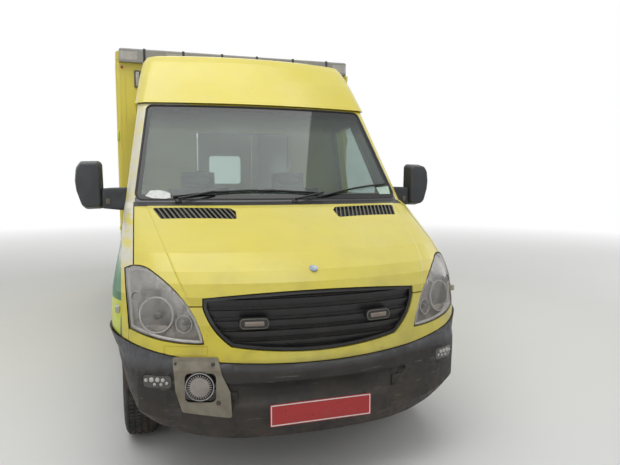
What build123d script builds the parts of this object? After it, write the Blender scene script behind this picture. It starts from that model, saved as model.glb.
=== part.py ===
from build123d import *
import math
import os

# Box-bodied ambulance on a van chassis: hollow cab, separate box body, hinged doors and bonnet, steered wheels.
# Millimetres. Drawn with y = 0 at the front axle, +Y to the rear, +X to the vehicle's left, +Z up.
# Every piece is moved on export, so that the origin is on the ground at the middle of the overall length.

os.makedirs("parts", exist_ok=True)

# Running gear
wheelbase = 3665
track_front = 1710
tyre_radius = 350
tyre_width = 196
rim_radius = 203
rim_width = 165
twin_outer = 880
twin_spacing = 218
arch_radius = 432
arch_liner = 10
kingpin_x = 760
kingpin_radius = 16
stub_radius = 30
run_gap = 0.3

# Chassis
rail_outer = 480
rail_width = 75
rail_bottom = 470
rail_height = 120
rail_front = -850
rail_wall = 8
axle_beam = 90
axle_tube_radius = 55

# Cab
cab_rear = 1150
belt_height = 1428
cab_floor_top = 640
cab_floor_thick = 40
panel_thick = 25
door_thick = 60
glass_thick = 6
glass_inset = 4
shut_gap = 6
seat_gap = 0.3
bonnet_half = 868
bonnet_rear_mid = -240
bonnet_rear_side = -100
bonnet_split = 957
fascia_half = 900
firewall_front = -10
firewall_thick = 35
carrier_y = -700
carrier_thick = 15
door_front = 150
door_rear = 1075
door_top = 2080
door_sill = 600
door_taper = 12
handle_y = 975
handle_z = 1205
handle_length = 140
handle_height = 20
handle_out = 12

# Raised middle of the bonnet and its two slatted air vents
dome_rise = 10
dome_half_low = 582
dome_half_high = 806
dome_full = 1112
vent_depth = 14
slat_count = 16
slat_pitch = 26.5
slat_width = 8
slat_proud = 2
slat_turn = -17

# Grille louvres: each face leans back from its upper to its lower edge
louvre_count = 5
louvre_low = 752
louvre_pitch = 50
louvre_height = 32
louvre_inset = 12.3
louvre_lean = 14

# Bumper and front fittings
bumper_front = -1004
bumper_bottom = 300
bumper_thick = 22
bumper_end = -390
plate_width = 520
plate_height = 110
plate_thick = 3
plate_bottom = 380
rear_plate_bottom = 590
plinth_depth = 7
bracket_thick = 6
siren_radius = 60

# Box body
box_front = 1290
box_length = 4010
box_half = 1010
box_wall = 40
box_bottom = 430
box_floor_top = 790
box_floor_thick = 60
box_top = 2630
box_edge = 28
box_roof_edge = 45
rear_arch = 375
arch_lip = 38
post_width = 80
cant_rail = 110
sill_rail = 40
panel_sink = 3
frame_width = 55
seam_width = 4
bar_front = 1240
bar_depth = 150
bar_bottom = 2515
bar_height = 108
bar_half = 977
side_door_front = 1400
side_door_width = 800
side_door_top = 2380
rear_door_half = 860
rear_door_top = 2400
door_meet_gap = 10
step_depth = 110
step_thick = 45
step_height = 520

# Hinges
knuckle_radius = 9
pin_radius = 4.5
knuckle_half = 12
hinge_half = 32
hinge_leaf = 34

# Cab sections: height, front on the centre line, half width, front arc radius, corner radius
cab_rows = [
    (300, -950, 955, 1985, 330),
    (700, -985, 985, 1985, 400),
    (870, -976, 988, 1985, 420),
    (1000, -952, 980, 1985, 420),
    (1060, -918, 970, 2000, 410),
    (1112, -868, 960, 2050, 390),
    (1190, -735, 945, 2250, 330),
    (1270, -565, 935, 2450, 260),
    (1335, -420, 930, 2600, 200),
    (1395, -285, 925, 2700, 150),
    (belt_height, -165, 921, 2800, 110),
    (2085, 403, 835, 3200, 90),
    (2155, 520, 790, 3200, 80),
]
bumper_rows = [
    (bumper_bottom, bumper_front + 50, 955, 1985, 330),
    (380, bumper_front + 6, 985, 1985, 370),
    (600, bumper_front, 1003, 1985, 400),
    (660, bumper_front + 2, 1003, 1985, 400),
    (700, bumper_front + 16, 1000, 1985, 400),
    (850, bumper_front + 22, 998, 1985, 400),
]
fairing_rows = [
    (2095, 390, 853, 3200, 105),
    (2300, 560, 822, 2800, 120),
    (2435, 678, 795, 2300, 130),
    (2482, 730, 765, 2200, 110),
    (2495, 775, 735, 2200, 90),
]

front_end = bumper_front - plinth_depth - plate_thick
box_rear = box_front + box_length
origin_y = (front_end + box_rear + step_depth) / 2
axle_z = tyre_radius
cab_top = cab_rows[-1][0]
roof_seat = cab_top + seat_gap


def write(name, piece):
    # Export of one piece, moved from the axle frame to the origin on the ground
    moved = Pos(0, -origin_y, 0) * piece
    moved.label = name
    export_step(moved, f"parts/{name}.step")


def section_at(height, inset=0.0):
    # Row of the cab's table at any height, set back from the surface
    below = [row for row in cab_rows if row[0] <= height][-1]
    above = [row for row in cab_rows if row[0] >= height][0]
    share = (height - below[0]) / max(above[0] - below[0], 1)
    front, half, arc, corner = [one + (two - one) * share for one, two in zip(below[1:], above[1:])]
    return height, front + inset, half - inset, arc, corner


def half_at(height):
    return section_at(height)[2]


def inset_rows(rows, inset):
    # The sections of the surface that lies inset inside the given one
    if inset == 0:
        return rows
    made = []
    for i, (height, front, half, arc, corner) in enumerate(rows):
        below = rows[max(i - 1, 0)]
        above = rows[min(i + 1, len(rows) - 1)]
        rise = above[0] - below[0]
        run = above[1] - below[1]
        length = math.hypot(rise, run)
        made.append((height - inset * run / length, front + inset * rise / length, half - inset, arc, corner - inset))
    return made


def hull(rows, inset=0.0, low=None, high=None, rear=cab_rear):
    # Loft through plan outlines: an arc across the front, rounded front corners, straight sides
    table = inset_rows(rows, inset)
    with BuildPart(mode=Mode.PRIVATE) as made:
        for i, (height, front, half, arc, corner) in enumerate(table):
            if i == 0 and low is not None:
                height = low
            if i == len(table) - 1 and high is not None:
                height = high
            side = front + arc - math.sqrt(arc**2 - half**2)
            with BuildSketch(Plane.XY.offset(height)) as outline:
                with BuildLine():
                    ThreePointArc((-half, side), (0, front), (half, side))
                    Polyline((half, side), (half, rear), (-half, rear), (-half, side))
                make_face()
                fillet(outline.vertices().group_by(Axis.Y)[0], max(corner, 15))
        loft(ruled=True)
    return made.part


def front_prism(points, y_low, y_high, radius=0):
    # Prism along Y over an outline in the front view
    with BuildPart(mode=Mode.PRIVATE) as made:
        with BuildSketch(Plane.XZ.offset(-y_high)) as outline:
            with BuildLine():
                Polyline(*points, close=True)
            make_face()
            if radius:
                fillet(outline.vertices(), radius)
        extrude(amount=y_high - y_low)
    return made.part


def side_prism(points, x_low, x_high, radius=0, taper=0):
    # Prism along X over an outline in the side view; with a taper it is drawn at x_high and narrows inwards
    with BuildPart(mode=Mode.PRIVATE) as made:
        with BuildSketch(Plane.YZ.offset(x_high)) as outline:
            with BuildLine():
                Polyline(*points, close=True)
            make_face()
            if radius:
                fillet(outline.vertices(), radius)
        extrude(amount=x_low - x_high, taper=taper)
    return made.part


def plan_prism(points, z_low, z_high, radius):
    # Prism along Z over an outline seen from above
    with BuildPart(mode=Mode.PRIVATE) as made:
        with BuildSketch(Plane.XY.offset(z_low)) as outline:
            with BuildLine():
                Polyline(*points, close=True)
            make_face()
            fillet(outline.vertices(), radius)
        extrude(amount=z_high - z_low)
    return made.part


def box_points(low, high, bottom, top):
    # Corners of a rectangle in the front or side view
    return [(low, bottom), (high, bottom), (high, top), (low, top)]


def slab(x_low, x_high, y_low, y_high, z_low, z_high):
    # Rectangular block between six faces
    with BuildPart(mode=Mode.PRIVATE) as made:
        with Locations(((x_low + x_high) / 2, (y_low + y_high) / 2, (z_low + z_high) / 2)):
            Box(x_high - x_low, y_high - y_low, z_high - z_low)
    return made.part


def pair(piece):
    # The piece and its mirror image on the other side
    return piece + mirror(piece, about=Plane.YZ, mode=Mode.PRIVATE)


def other(piece):
    return mirror(piece, about=Plane.YZ, mode=Mode.PRIVATE)


def rod(x, y, z, radius, length, direction):
    # Cylinder centred on a point, along X, Y or Z
    return Plane((x, y, z), z_dir=direction) * Cylinder(radius, length, mode=Mode.PRIVATE)


# Common cab solids
cab_outer = hull(cab_rows)
cab_skin = hull(cab_rows, panel_thick, low=cab_rows[0][0] - 1, high=cab_top - panel_thick)
cab_liner = hull(cab_rows, panel_thick + seat_gap, low=cab_rows[0][0] - 1, high=cab_top - panel_thick - seat_gap)
cab_inner = hull(cab_rows, door_thick, low=cab_rows[0][0] - 1, high=cab_top - door_thick, rear=cab_rear - door_thick)
glass_outer = hull(cab_rows, glass_inset)
glass_inner = hull(cab_rows, glass_inset + glass_thick)
glass_bed = hull(cab_rows, glass_inset + glass_thick + seat_gap)
shell = cab_outer - cab_skin
wall = cab_outer - cab_inner
arm_limit = hull(cab_rows, 12)
grille_front = hull(cab_rows, 8)
grille_back = hull(cab_rows, 38)
grille_rear = hull(cab_rows, 42)


def lamp_prism(grow):
    # Headlamp outline in the front view: a tall teardrop that leans outwards
    with BuildPart(mode=Mode.PRIVATE) as made:
        with BuildSketch(Plane.XZ) as outline:
            with BuildLine():
                ThreePointArc((555, 780), (628, 966), (770, 1105))
                ThreePointArc((770, 1105), (845, 1132), (911, 1112))
                Line((911, 1112), (894, 841))
                ThreePointArc((894, 841), (747, 798), (555, 780))
            make_face()
            if grow:
                offset(amount=grow)
        extrude(amount=1200)
    return made.part


def grille_prism(grow):
    # Grille opening in the front view: a shield with an arched top edge
    with BuildPart(mode=Mode.PRIVATE) as made:
        with BuildSketch(Plane.XZ) as outline:
            with BuildLine():
                ThreePointArc((-553, 994), (0, 1020), (553, 994))
                Line((553, 994), (553, 950))
                ThreePointArc((553, 950), (512, 858), (425, 765))
                ThreePointArc((425, 765), (0, 727), (-425, 765))
                ThreePointArc((-425, 765), (-512, 858), (-553, 950))
                Line((-553, 950), (-553, 994))
            make_face()
            if grow:
                offset(amount=grow)
        extrude(amount=1200)
    return made.part


def bumper_top_prism(shift):
    # Everything below the bumper's upper edge, which rises towards the wings
    with BuildPart(mode=Mode.PRIVATE) as made:
        with BuildSketch(Plane.XZ.offset(300)):
            with BuildLine():
                ThreePointArc((-400, 685 + shift), (0, 671 + shift), (400, 685 + shift))
                ThreePointArc((400, 685 + shift), (700, 724 + shift), (1050, 828 + shift))
                Polyline((1050, 828 + shift), (1050, 0), (-1050, 0), (-1050, 828 + shift))
                ThreePointArc((-1050, 828 + shift), (-700, 724 + shift), (-400, 685 + shift))
            make_face()
        extrude(amount=900)
    return made.part


def rear_edge_prism(back):
    # Everything in front of the bonnet's curved rear edge
    rise = bonnet_rear_side - bonnet_rear_mid
    arc = (bonnet_half**2 + rise**2) / (2 * rise)
    edge = bonnet_rear_mid + back
    end = edge + arc - math.sqrt(arc**2 - 1050**2)
    with BuildPart(mode=Mode.PRIVATE) as made:
        with BuildSketch(Plane.XY.offset(cab_rows[0][0])):
            with BuildLine():
                ThreePointArc((-1050, end), (0, edge), (1050, end))
                Polyline((1050, end), (1050, -1300), (-1050, -1300), (-1050, end))
            make_face()
        extrude(amount=1300)
    return made.part


half_gap = shut_gap / 2
lamps_wide = pair(lamp_prism(half_gap))
grille_wide = grille_prism(half_gap)
below_bumper = bumper_top_prism(half_gap)
arch_cut = rod(0, 0, axle_z, arch_radius, 2400, (1, 0, 0))
belt_cut = belt_height - seat_gap

# Front panel around the grille, between bumper and bonnet
panel_points = [(-fascia_half + half_gap, 600), (fascia_half - half_gap, 600), (fascia_half - half_gap, 830)]
panel_points += [(620, bonnet_split - half_gap), (-620, bonnet_split - half_gap), (-fascia_half + half_gap, 830)]
with BuildPart() as front_panel:
    add(shell)
    add(front_prism(panel_points, -1200, -500), mode=Mode.INTERSECT)
    add(lamps_wide, mode=Mode.SUBTRACT)
    add(grille_wide, mode=Mode.SUBTRACT)
    add(below_bumper, mode=Mode.SUBTRACT)
    lug = slab(525, 550, -900, carrier_y, 790, 840) & cab_skin
    add(pair(lug))
    # Seam of the cover over the towing eye
    flap = front_prism(box_points(-736, -536, 724, 772), -1200, -700)
    flap = flap - front_prism(box_points(-736 + seam_width, -536 - seam_width, 724 + seam_width, 772 - seam_width), -1200, -700)
    add(flap - hull(cab_rows, panel_sink), mode=Mode.SUBTRACT)
front_panel.part.label = "front_panel"
write("front_panel", front_panel.part)

# Raised middle of the bonnet: its crease runs from the vents' outer ends down to the lamps' inner corners
dome_rows = []
nose_rows = [row for row in cab_rows if row[0] <= belt_height][2:]
for height, front, half, arc, corner in nose_rows:
    share = (height - nose_rows[0][0]) / (belt_height - nose_rows[0][0])
    crease_half = dome_half_low + (dome_half_high - dome_half_low) * share
    rise = dome_rise * min(1, (height - bonnet_split) / (dome_full - bonnet_split))
    dome_rows.append((height, front - rise, crease_half, arc, 25))
dome = hull(dome_rows, rear=0)

# Vents: a pocket in the raised skin, with thin slats that lean towards the middle
vent_points = [(768, -172), (325, -278), (300, -315), (308, -402), (722, -311)]
pocket = plan_prism(vent_points, 1200, 1500, 14) - hull(cab_rows, vent_depth)
with BuildPart(mode=Mode.PRIVATE) as slats:
    with Locations(*[Location((334 + slat_pitch * i, -280, 1350), (0, 0, slat_turn)) for i in range(slat_count)]):
        Box(slat_width, 400, 300)
pocket = pocket - (slats.part & hull(cab_rows, -slat_proud))

# Bonnet skin with a turned-down frame under its rim
bonnet_points = [(-bonnet_half + half_gap, 1500), (bonnet_half - half_gap, 1500)]
bonnet_points += [(bonnet_half - half_gap, bonnet_split + half_gap), (-bonnet_half + half_gap, bonnet_split + half_gap)]
hinge_y = -45
hinge_z = belt_height - 38
with BuildPart() as bonnet:
    add(shell)
    add(dome - cab_skin)
    add(front_prism(bonnet_points, -1200, 100), mode=Mode.INTERSECT)
    add(rear_edge_prism(-half_gap), mode=Mode.INTERSECT)
    add(lamps_wide, mode=Mode.SUBTRACT)
    add(grille_wide, mode=Mode.SUBTRACT)
    add(pair(pocket), mode=Mode.SUBTRACT)
    # Two goose-neck arms dip under the cowl from the bonnet's rear corners to the hinge pins
    neck = [(12, -6), (-12, -78), (-64, -106), (-108, -92), (-158, -34), (-168, 20)]
    neck += [(-138, 20), (-118, -40), (-70, -84), (-32, -62), (-11, -4)]
    arm = side_prism([(hinge_y + dy, hinge_z + dz) for dy, dz in neck], 770, 785) & arm_limit
    arm = arm + rod(777.5, hinge_y, hinge_z, 12, 15, (1, 0, 0))
    arm = arm - rod(777.5, hinge_y, hinge_z, 6 + run_gap, 60, (1, 0, 0))
    add(pair(arm))
bonnet.part.label = "bonnet"
write("bonnet", bonnet.part)

# Wings from the lamp back to the door, with the fixed half of the door hinges
wing_points = [(fascia_half + half_gap, 600), (1100, 600), (1100, belt_cut), (bonnet_half + half_gap, belt_cut)]
wing_points += [(bonnet_half + half_gap, 1100), (890, 1000), (fascia_half - 3, 845)]
with BuildPart() as wing:
    add(shell)
    add(front_prism(wing_points, -1200, door_front - shut_gap), mode=Mode.INTERSECT)
    add(lamps_wide, mode=Mode.SUBTRACT)
    add(below_bumper, mode=Mode.SUBTRACT)
    add(arch_cut, mode=Mode.SUBTRACT)


def hinge(place, depth):
    # Hinge on an axis: place has +X along the skin to the door and +Z along the axis; depth reaches the skin
    with BuildPart(mode=Mode.PRIVATE) as fixed:
        Cylinder(knuckle_radius, 2 * knuckle_half)
        Cylinder(pin_radius, 2 * hinge_half)
        with Locations((-hinge_leaf / 2, depth / 2, 0)):
            Box(hinge_leaf, depth, 2 * knuckle_half)
    with BuildPart(mode=Mode.PRIVATE) as moving:
        with Locations((0, 0, (hinge_half + knuckle_half + 1) / 2), (0, 0, -(hinge_half + knuckle_half + 1) / 2)):
            Cylinder(knuckle_radius, hinge_half - knuckle_half - 1)
            with Locations((hinge_leaf / 2, depth / 2, 0)):
                Box(hinge_leaf, depth, hinge_half - knuckle_half - 1)
        Cylinder(pin_radius + run_gap, 2 * hinge_half, mode=Mode.SUBTRACT)
    return place * fixed.part, place * moving.part


# Cab door hinge axis: just outside the skin at two heights, leaning with the side
hinge_low = 900
hinge_high = 1310
hinge_out = 13
axis_low = half_at(hinge_low) + hinge_out
axis_high = half_at(hinge_high) + hinge_out
door_axis_y = door_front - half_gap
lean = (axis_high - axis_low) / (hinge_high - hinge_low)
lean_length = math.hypot(1, lean)
door_axis = (lean / lean_length, 0, 1 / lean_length)
wing_hinges = []
door_hinges = []
for height in (hinge_low + 30, hinge_high - 30):
    place = Plane((axis_low + lean * (height - hinge_low), door_axis_y, height), x_dir=(0, 1, 0), z_dir=door_axis)
    fixed, moving = hinge(place, hinge_out + 4)
    wing_hinges.append(fixed)
    door_hinges.append(moving)

wing_solid = wing.part
for piece in wing_hinges:
    wing_solid = wing_solid + piece
write("front_wings", pair(wing_solid))

# Headlamps: the lens follows the nose, the housing reaches back to the carrier
lens = shell & lamp_prism(-half_gap)
housing = front_prism([(655, 860), (850, 860), (850, 1030), (700, 1030)], -900, carrier_y, 25) & cab_skin
headlamp = lens + housing
write("headlamps", pair(headlamp))

# Bumper: a deep moulding with a set-back upper ledge, a middle recess, lamp pockets and a plinth for the plate
bumper_outer = hull(bumper_rows)
bumper_inner = hull(bumper_rows, bumper_thick, low=bumper_bottom - 1, high=851)
recess = front_prism([(-500, 590), (500, 590), (420, 495), (-420, 495)], -1100, -800, 12)
lamp_hole = front_prism([(705, 568), (837, 568), (837, 634), (705, 634)], -1100, -700, 18)
siren_hole = front_prism([(-650, 503), (-502, 503), (-502, 651), (-650, 651)], -1100, -700, 25)
with BuildPart() as bumper:
    add(bumper_outer)
    add(bumper_inner, mode=Mode.SUBTRACT)
    add(front_prism([(-1100, 200), (1100, 200), (1100, 900), (-1100, 900)], -1100, bumper_end), mode=Mode.INTERSECT)
    add(bumper_top_prism(-half_gap), mode=Mode.INTERSECT)
    add(recess - hull(bumper_rows, bumper_thick - 10), mode=Mode.SUBTRACT)
    add(arch_cut, mode=Mode.SUBTRACT)
    add(pair(lamp_hole), mode=Mode.SUBTRACT)
    add(siren_hole, mode=Mode.SUBTRACT)
    plinth_y = bumper_front - plinth_depth
    add(slab(-250, 250, plinth_y, bumper_front + 45, plate_bottom + 5, plate_bottom + plate_height - 5))
    # Two arms carry the bumper on the front faces of the chassis rails
    arm = slab(rail_outer - rail_width, rail_outer, -980, rail_front, rail_bottom + 10, rail_bottom + 80)
    add(pair(arm & hull(bumper_rows, 4)))
bumper.part.label = "bumper"
write("bumper", bumper.part)

# Corner lamps in the bumper's pockets
corner_lamp = front_prism([(707, 570), (835, 570), (835, 632), (707, 632)], -1100, -700, 17)
corner_lamp = corner_lamp & (hull(bumper_rows, 1) - hull(bumper_rows, 14))
corner_seat = front_prism([(695, 560), (845, 560), (845, 642), (695, 642)], -1100, -700, 17)
corner_seat = corner_seat & (hull(bumper_rows, bumper_thick + seat_gap) - hull(bumper_rows, bumper_thick + 6))
corner_plug = front_prism([(715, 578), (827, 578), (827, 624), (715, 624)], -1100, -700, 12)
corner_plug = corner_plug & (hull(bumper_rows, 10) - hull(bumper_rows, bumper_thick + 4))
write("bumper_lamps", pair(corner_lamp + corner_plug + corner_seat))

# Grille: frame, backing and broad louvres that follow the nose
louvre_bed = grille_prism(-half_gap - 8)
with BuildPart() as grille:
    add(grille_prism(-half_gap) & (grille_front - grille_rear))
    add(grille_prism(-half_gap - 14) - grille_back, mode=Mode.SUBTRACT)
    for i in range(louvre_count):
        low = louvre_low + louvre_pitch * i
        edges = [section_at(low, louvre_inset + louvre_lean), section_at(low + louvre_height, louvre_inset)]
        add((hull(edges) - grille_rear) & louvre_bed)
    add(pair(slab(400, 430, -960, carrier_y, 800, 850) & grille_back))
grille.part.label = "grille"
write("grille", grille.part)

# Lamps on the grille and the siren bracket on the bumper
strobe = front_prism([(250, 850), (392, 850), (392, 903), (250, 903)], -1200, -800, 24)
strobe = strobe & (hull(cab_rows, -10) - hull(cab_rows, 12 - seat_gap))
write("grille_lamps", pair(strobe))

bracket_points = [(-700, 720), (-493, 720), (-478, 640), (-440, 554), (-432, 425), (-660, 456), (-690, 560)]
bracket_hole = front_prism([(-647, 506), (-505, 506), (-505, 648), (-647, 648)], -1200, -600, 24)
with BuildPart() as siren_bracket:
    add(front_prism(bracket_points, -1200, -600, 12) & (hull(bumper_rows, -bracket_thick) - hull(bumper_rows, -seat_gap)))
    add(bracket_hole, mode=Mode.SUBTRACT)
    add(rod(-578, -870, 585, siren_radius, 70, (0, 1, 0)))
    add(slab(-650, -502, -935, -865, 578, 592) & hull(bumper_rows, -bracket_thick))
siren_bracket.part.label = "siren_bracket"
write("siren_bracket", siren_bracket.part)

# Number plates, blank
plate_half = plate_width / 2
plate_points = box_points(-plate_half, plate_half, plate_bottom, plate_bottom + plate_height)
write("front_plate", front_prism(plate_points, plinth_y - plate_thick, plinth_y, 8))

# Windscreen and its bed
screen_points = [(-862, belt_height + 12), (862, belt_height + 12), (772, 2074), (-772, 2074)]
screen_inner = [(-832, belt_height + 42), (832, belt_height + 42), (748, 2048), (-748, 2048)]
screen = front_prism(screen_points, -400, 640, 40) & (glass_outer - glass_inner)
screen_bed = front_prism([(-864, belt_height + 10), (864, belt_height + 10), (774, 2076), (-774, 2076)], -400, 640, 41)
screen_bed = screen_bed - glass_bed
screen_void = front_prism(screen_inner, -400, 640, 40)
write("windscreen", screen)

# Cab door outline, drawn at the outermost plane, with the cut round the arch
def door_outline(grow):
    front = door_front - grow
    arch = arch_radius + 45 - grow
    sill = door_sill - grow
    low_y = math.sqrt(arch**2 - (sill - axle_z) ** 2)
    high_z = axle_z + math.sqrt(arch**2 - front**2)
    top = door_top + grow
    pillar = 640 - grow * 1.2
    mid = (math.atan2(high_z - axle_z, front) + math.atan2(sill - axle_z, low_y)) / 2
    with BuildPart(mode=Mode.PRIVATE) as made:
        with BuildSketch(Plane.YZ.offset(box_half)):
            with BuildLine():
                ThreePointArc((low_y, sill), (arch * math.cos(mid), axle_z + arch * math.sin(mid)), (front, high_z))
                Line((front, high_z), (front, 1450 + grow * 0.5))
                Line((front, 1450 + grow * 0.5), (pillar, top))
                Line((pillar, top), (door_rear + grow, top))
                Line((door_rear + grow, top), (door_rear + grow, sill))
                Line((door_rear + grow, sill), (low_y, sill))
            make_face()
        extrude(amount=-400, taper=door_taper)
    return made.part


door_cut = door_outline(shut_gap)
door_body = door_outline(0)
window_points = [(300, belt_height + 30), (1000, belt_height + 30), (1000, 1990), (665, 1990), (300, 1520)]
window_seat = [(275, belt_height + 5), (1025, belt_height + 5), (1025, 2015), (652, 2015), (275, 1530)]
window_pane = [(277, belt_height + 7), (1023, belt_height + 7), (1023, 2013), (653, 2013), (277, 1529)]
with BuildPart() as door:
    add(wall)
    add(door_body, mode=Mode.INTERSECT)
    add(side_prism(window_seat, 600, 1100, 30) - glass_bed, mode=Mode.SUBTRACT)
    add(side_prism(window_points, 600, 1100, 30), mode=Mode.SUBTRACT)
    # Hollow door: a cavity between the outer skin and the trim
    add(side_prism([(230, 960), (1010, 960), (1010, 1380), (230, 1380)], 880, 905, 20), mode=Mode.SUBTRACT)
    # Pull handle: a bar over a cup in the skin
    grip_low = handle_z - handle_height / 2
    grip_half = handle_length / 2
    grip = side_prism(box_points(handle_y - grip_half, handle_y + grip_half, grip_low, grip_low + handle_height), 800, 1100, 6)
    cup = side_prism(box_points(handle_y - 45, handle_y + 45, handle_z - 32, handle_z + 32), 800, 1100, 20)
    add(cup - hull(cab_rows, 14), mode=Mode.SUBTRACT)
    add(grip & (hull(cab_rows, -handle_out) - cab_outer))
door_solid = door.part
for piece in door_hinges:
    door_solid = door_solid + piece
write("cab_door_left", door_solid)
write("cab_door_right", other(door_solid))
pane = side_prism(window_pane, 600, 1100, 29) & (glass_outer - glass_inner)
write("cab_glass_left", pane)
write("cab_glass_right", other(pane))

# Cab body: pillars, roof, rear wall, sills, floor, firewall, wheel housings and the carrier behind the nose
sill_top = door_sill - shut_gap
housing_inner = 535
frame_clear = rail_outer + 60
housing_wall = arch_liner
arch_outer = arch_radius + arch_liner
pillar_top = slab(-1100, 1100, -400, cab_rear, belt_height, cab_top + 1)
door_edge = door_front - shut_gap
behind = slab(-1100, 1100, door_edge, cab_rear, box_bottom, belt_height)
behind = behind - pair(slab(half_at(belt_height) - 80, 1100, door_edge - 1, door_front + 25, box_bottom, belt_height))
wheel_room = pair(rod(0, 0, axle_z, arch_radius, 2400, (1, 0, 0)) & slab(housing_inner, 1100, -500, 500, 0, 900))
with BuildPart() as cab_shell:
    add(wall & (pillar_top + behind))
    # Hinge pillars behind the wings, and the firewall between them
    add((cab_liner - cab_inner) & slab(-1100, 1100, firewall_front, door_edge, box_bottom, belt_height))
    firewall_back = firewall_front + firewall_thick
    add(slab(-1000, 1000, firewall_front, firewall_back, cab_floor_top - cab_floor_thick, belt_height) & cab_liner)
    floor_bottom = cab_floor_top - cab_floor_thick
    add(slab(-1000, 1000, firewall_front, cab_rear, floor_bottom, cab_floor_top) & cab_liner)
    # Wheel housings: liners over the tyres, closed inwards by the aprons that carry the nose
    liner = rod(0, 0, axle_z, arch_outer, 2400, (1, 0, 0)) - arch_cut
    liner = liner & slab(housing_inner, 1000, -500, 500, 430, 900) & cab_liner
    nose_region = slab(-1100, 1100, -1200, firewall_front - seat_gap, 0, belt_height)
    add(pair(liner - nose_region))
    apron_points = [(carrier_y, 500), (carrier_y, 960), (firewall_front, 1000), (firewall_front, 430), (-380, 500)]
    apron = side_prism(apron_points, housing_inner - housing_wall, housing_inner)
    lower_side = slab(housing_inner - housing_wall, housing_inner, firewall_front, arch_outer, 430, cab_floor_top)
    add(pair(lower_side))
    carrier = slab(-870, 870, carrier_y, carrier_y + carrier_thick, cab_floor_top - cab_floor_thick, 1045) & cab_liner
    carrier = carrier - slab(-380, 380, -900, -500, 640, 940) - pair(rod(0, 0, axle_z, arch_outer, 3000, (1, 0, 0)))
    # Nothing of the floor or firewall stands in the wheel housings
    add(wheel_room, mode=Mode.SUBTRACT)
    # Openings: doors, windscreen, and the way through to the box
    add(pair(door_cut), mode=Mode.SUBTRACT)
    add(screen_bed, mode=Mode.SUBTRACT)
    add(screen_void, mode=Mode.SUBTRACT)
    add(slab(-400, 400, cab_rear - 200, cab_rear + 10, cab_floor_top, 1950), mode=Mode.SUBTRACT)
    add(slab(-frame_clear, frame_clear, 700, cab_rear + 10, box_bottom - 10, floor_bottom), mode=Mode.SUBTRACT)
    # Brackets and pins of the bonnet hinges
    bracket = slab(790, 800, hinge_y - 12, firewall_front, hinge_z - 14, hinge_z + 12)
    add(pair(bracket + rod(782, hinge_y, hinge_z, 6, 36, (1, 0, 0))))
cab_shell.part.label = "cab_shell"
write("cab_shell", cab_shell.part)

# Inner wings: the front halves of the wheel housings, the aprons and the carrier behind the nose
with BuildPart() as inner_wings:
    add(carrier)
    add(pair((liner + apron) & nose_region))
    add(wheel_room, mode=Mode.SUBTRACT)
inner_wings.part.label = "inner_wings"
write("inner_wings", inner_wings.part)

# Cowl between bonnet and windscreen, with two wipers on the glass
cowl_thick = 8
with BuildPart() as cowl:
    add(cab_outer - hull(cab_rows, cowl_thick))
    add(slab(-bonnet_half + half_gap, bonnet_half - half_gap, -400, 200, belt_height - 90, belt_cut), mode=Mode.INTERSECT)
    add(rear_edge_prism(half_gap), mode=Mode.SUBTRACT)
cowl.part.label = "cowl"
write("cowl", cowl.part)

# Dashboard with the steering wheel on the vehicle's right
dash_points = [(firewall_back, 1000), (firewall_back, 1400), (260, 1400), (360, 1330), (345, 1180), (200, 1050)]
wheel_plane = Plane((-380, 490, 1225), x_dir=(1, 0, 0), z_dir=(0, 0.9, 0.44))
with BuildPart() as dashboard:
    add(side_prism(dash_points, -825, 825, 12))
    add(slab(-180, 180, firewall_back, 420, 760, 1100))
    add(wheel_plane * Torus(195, 15, mode=Mode.PRIVATE))
    add(wheel_plane * Pos(0, 0, -20) * Cylinder(60, 40, mode=Mode.PRIVATE))
    add(wheel_plane * Box(380, 34, 16, mode=Mode.PRIVATE))
    add(wheel_plane * Pos(0, -95, 0) * Box(34, 190, 16, mode=Mode.PRIVATE))
    add(wheel_plane * Pos(0, 0, -140) * Cylinder(32, 240, mode=Mode.PRIVATE))
dashboard.part.label = "dashboard"
write("dashboard", dashboard.part)

# Cab seats: one solid each, base, cushion, back and head restraint
seat_points = [(540, cab_floor_top + seat_gap), (520, 840), (490, 880), (505, 965), (900, 935), (1000, 1500)]
seat_points += [(1000, 1640), (1070, 1650), (1080, 1500), (1020, 940), (960, 640 + seat_gap)]
seat = side_prism(seat_points, 130, 640, 14)
write("cab_seats", pair(seat))

# Roof fairing: a hollow shell from the windscreen's top edge to the box, on two ribs
fairing_wall = 20
with BuildPart() as roof_fairing:
    add(hull(fairing_rows, rear=box_front - seat_gap))
    inner_low = fairing_rows[0][0] - 1
    inner_high = fairing_rows[-1][0] - fairing_wall
    add(hull(fairing_rows, fairing_wall, low=inner_low, high=inner_high, rear=box_front + 1), mode=Mode.SUBTRACT)
    rib = slab(280, 300, 720, cab_rear - 20, roof_seat, fairing_rows[-1][0] - 5)
    add(pair(rib & hull(fairing_rows, 4, rear=box_front - 10)))
roof_fairing.part.label = "roof_fairing"
write("roof_fairing", roof_fairing.part)

# Collar between the cab's rear wall and the box
with BuildPart() as cab_collar:
    add(slab(-450, 450, cab_rear, box_front, cab_floor_top - 20, 2000))
    add(slab(-425, 425, cab_rear - 1, box_front + 1, cab_floor_top + 5, 1975), mode=Mode.SUBTRACT)
cab_collar.part.label = "cab_collar"
write("cab_collar", cab_collar.part)

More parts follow.
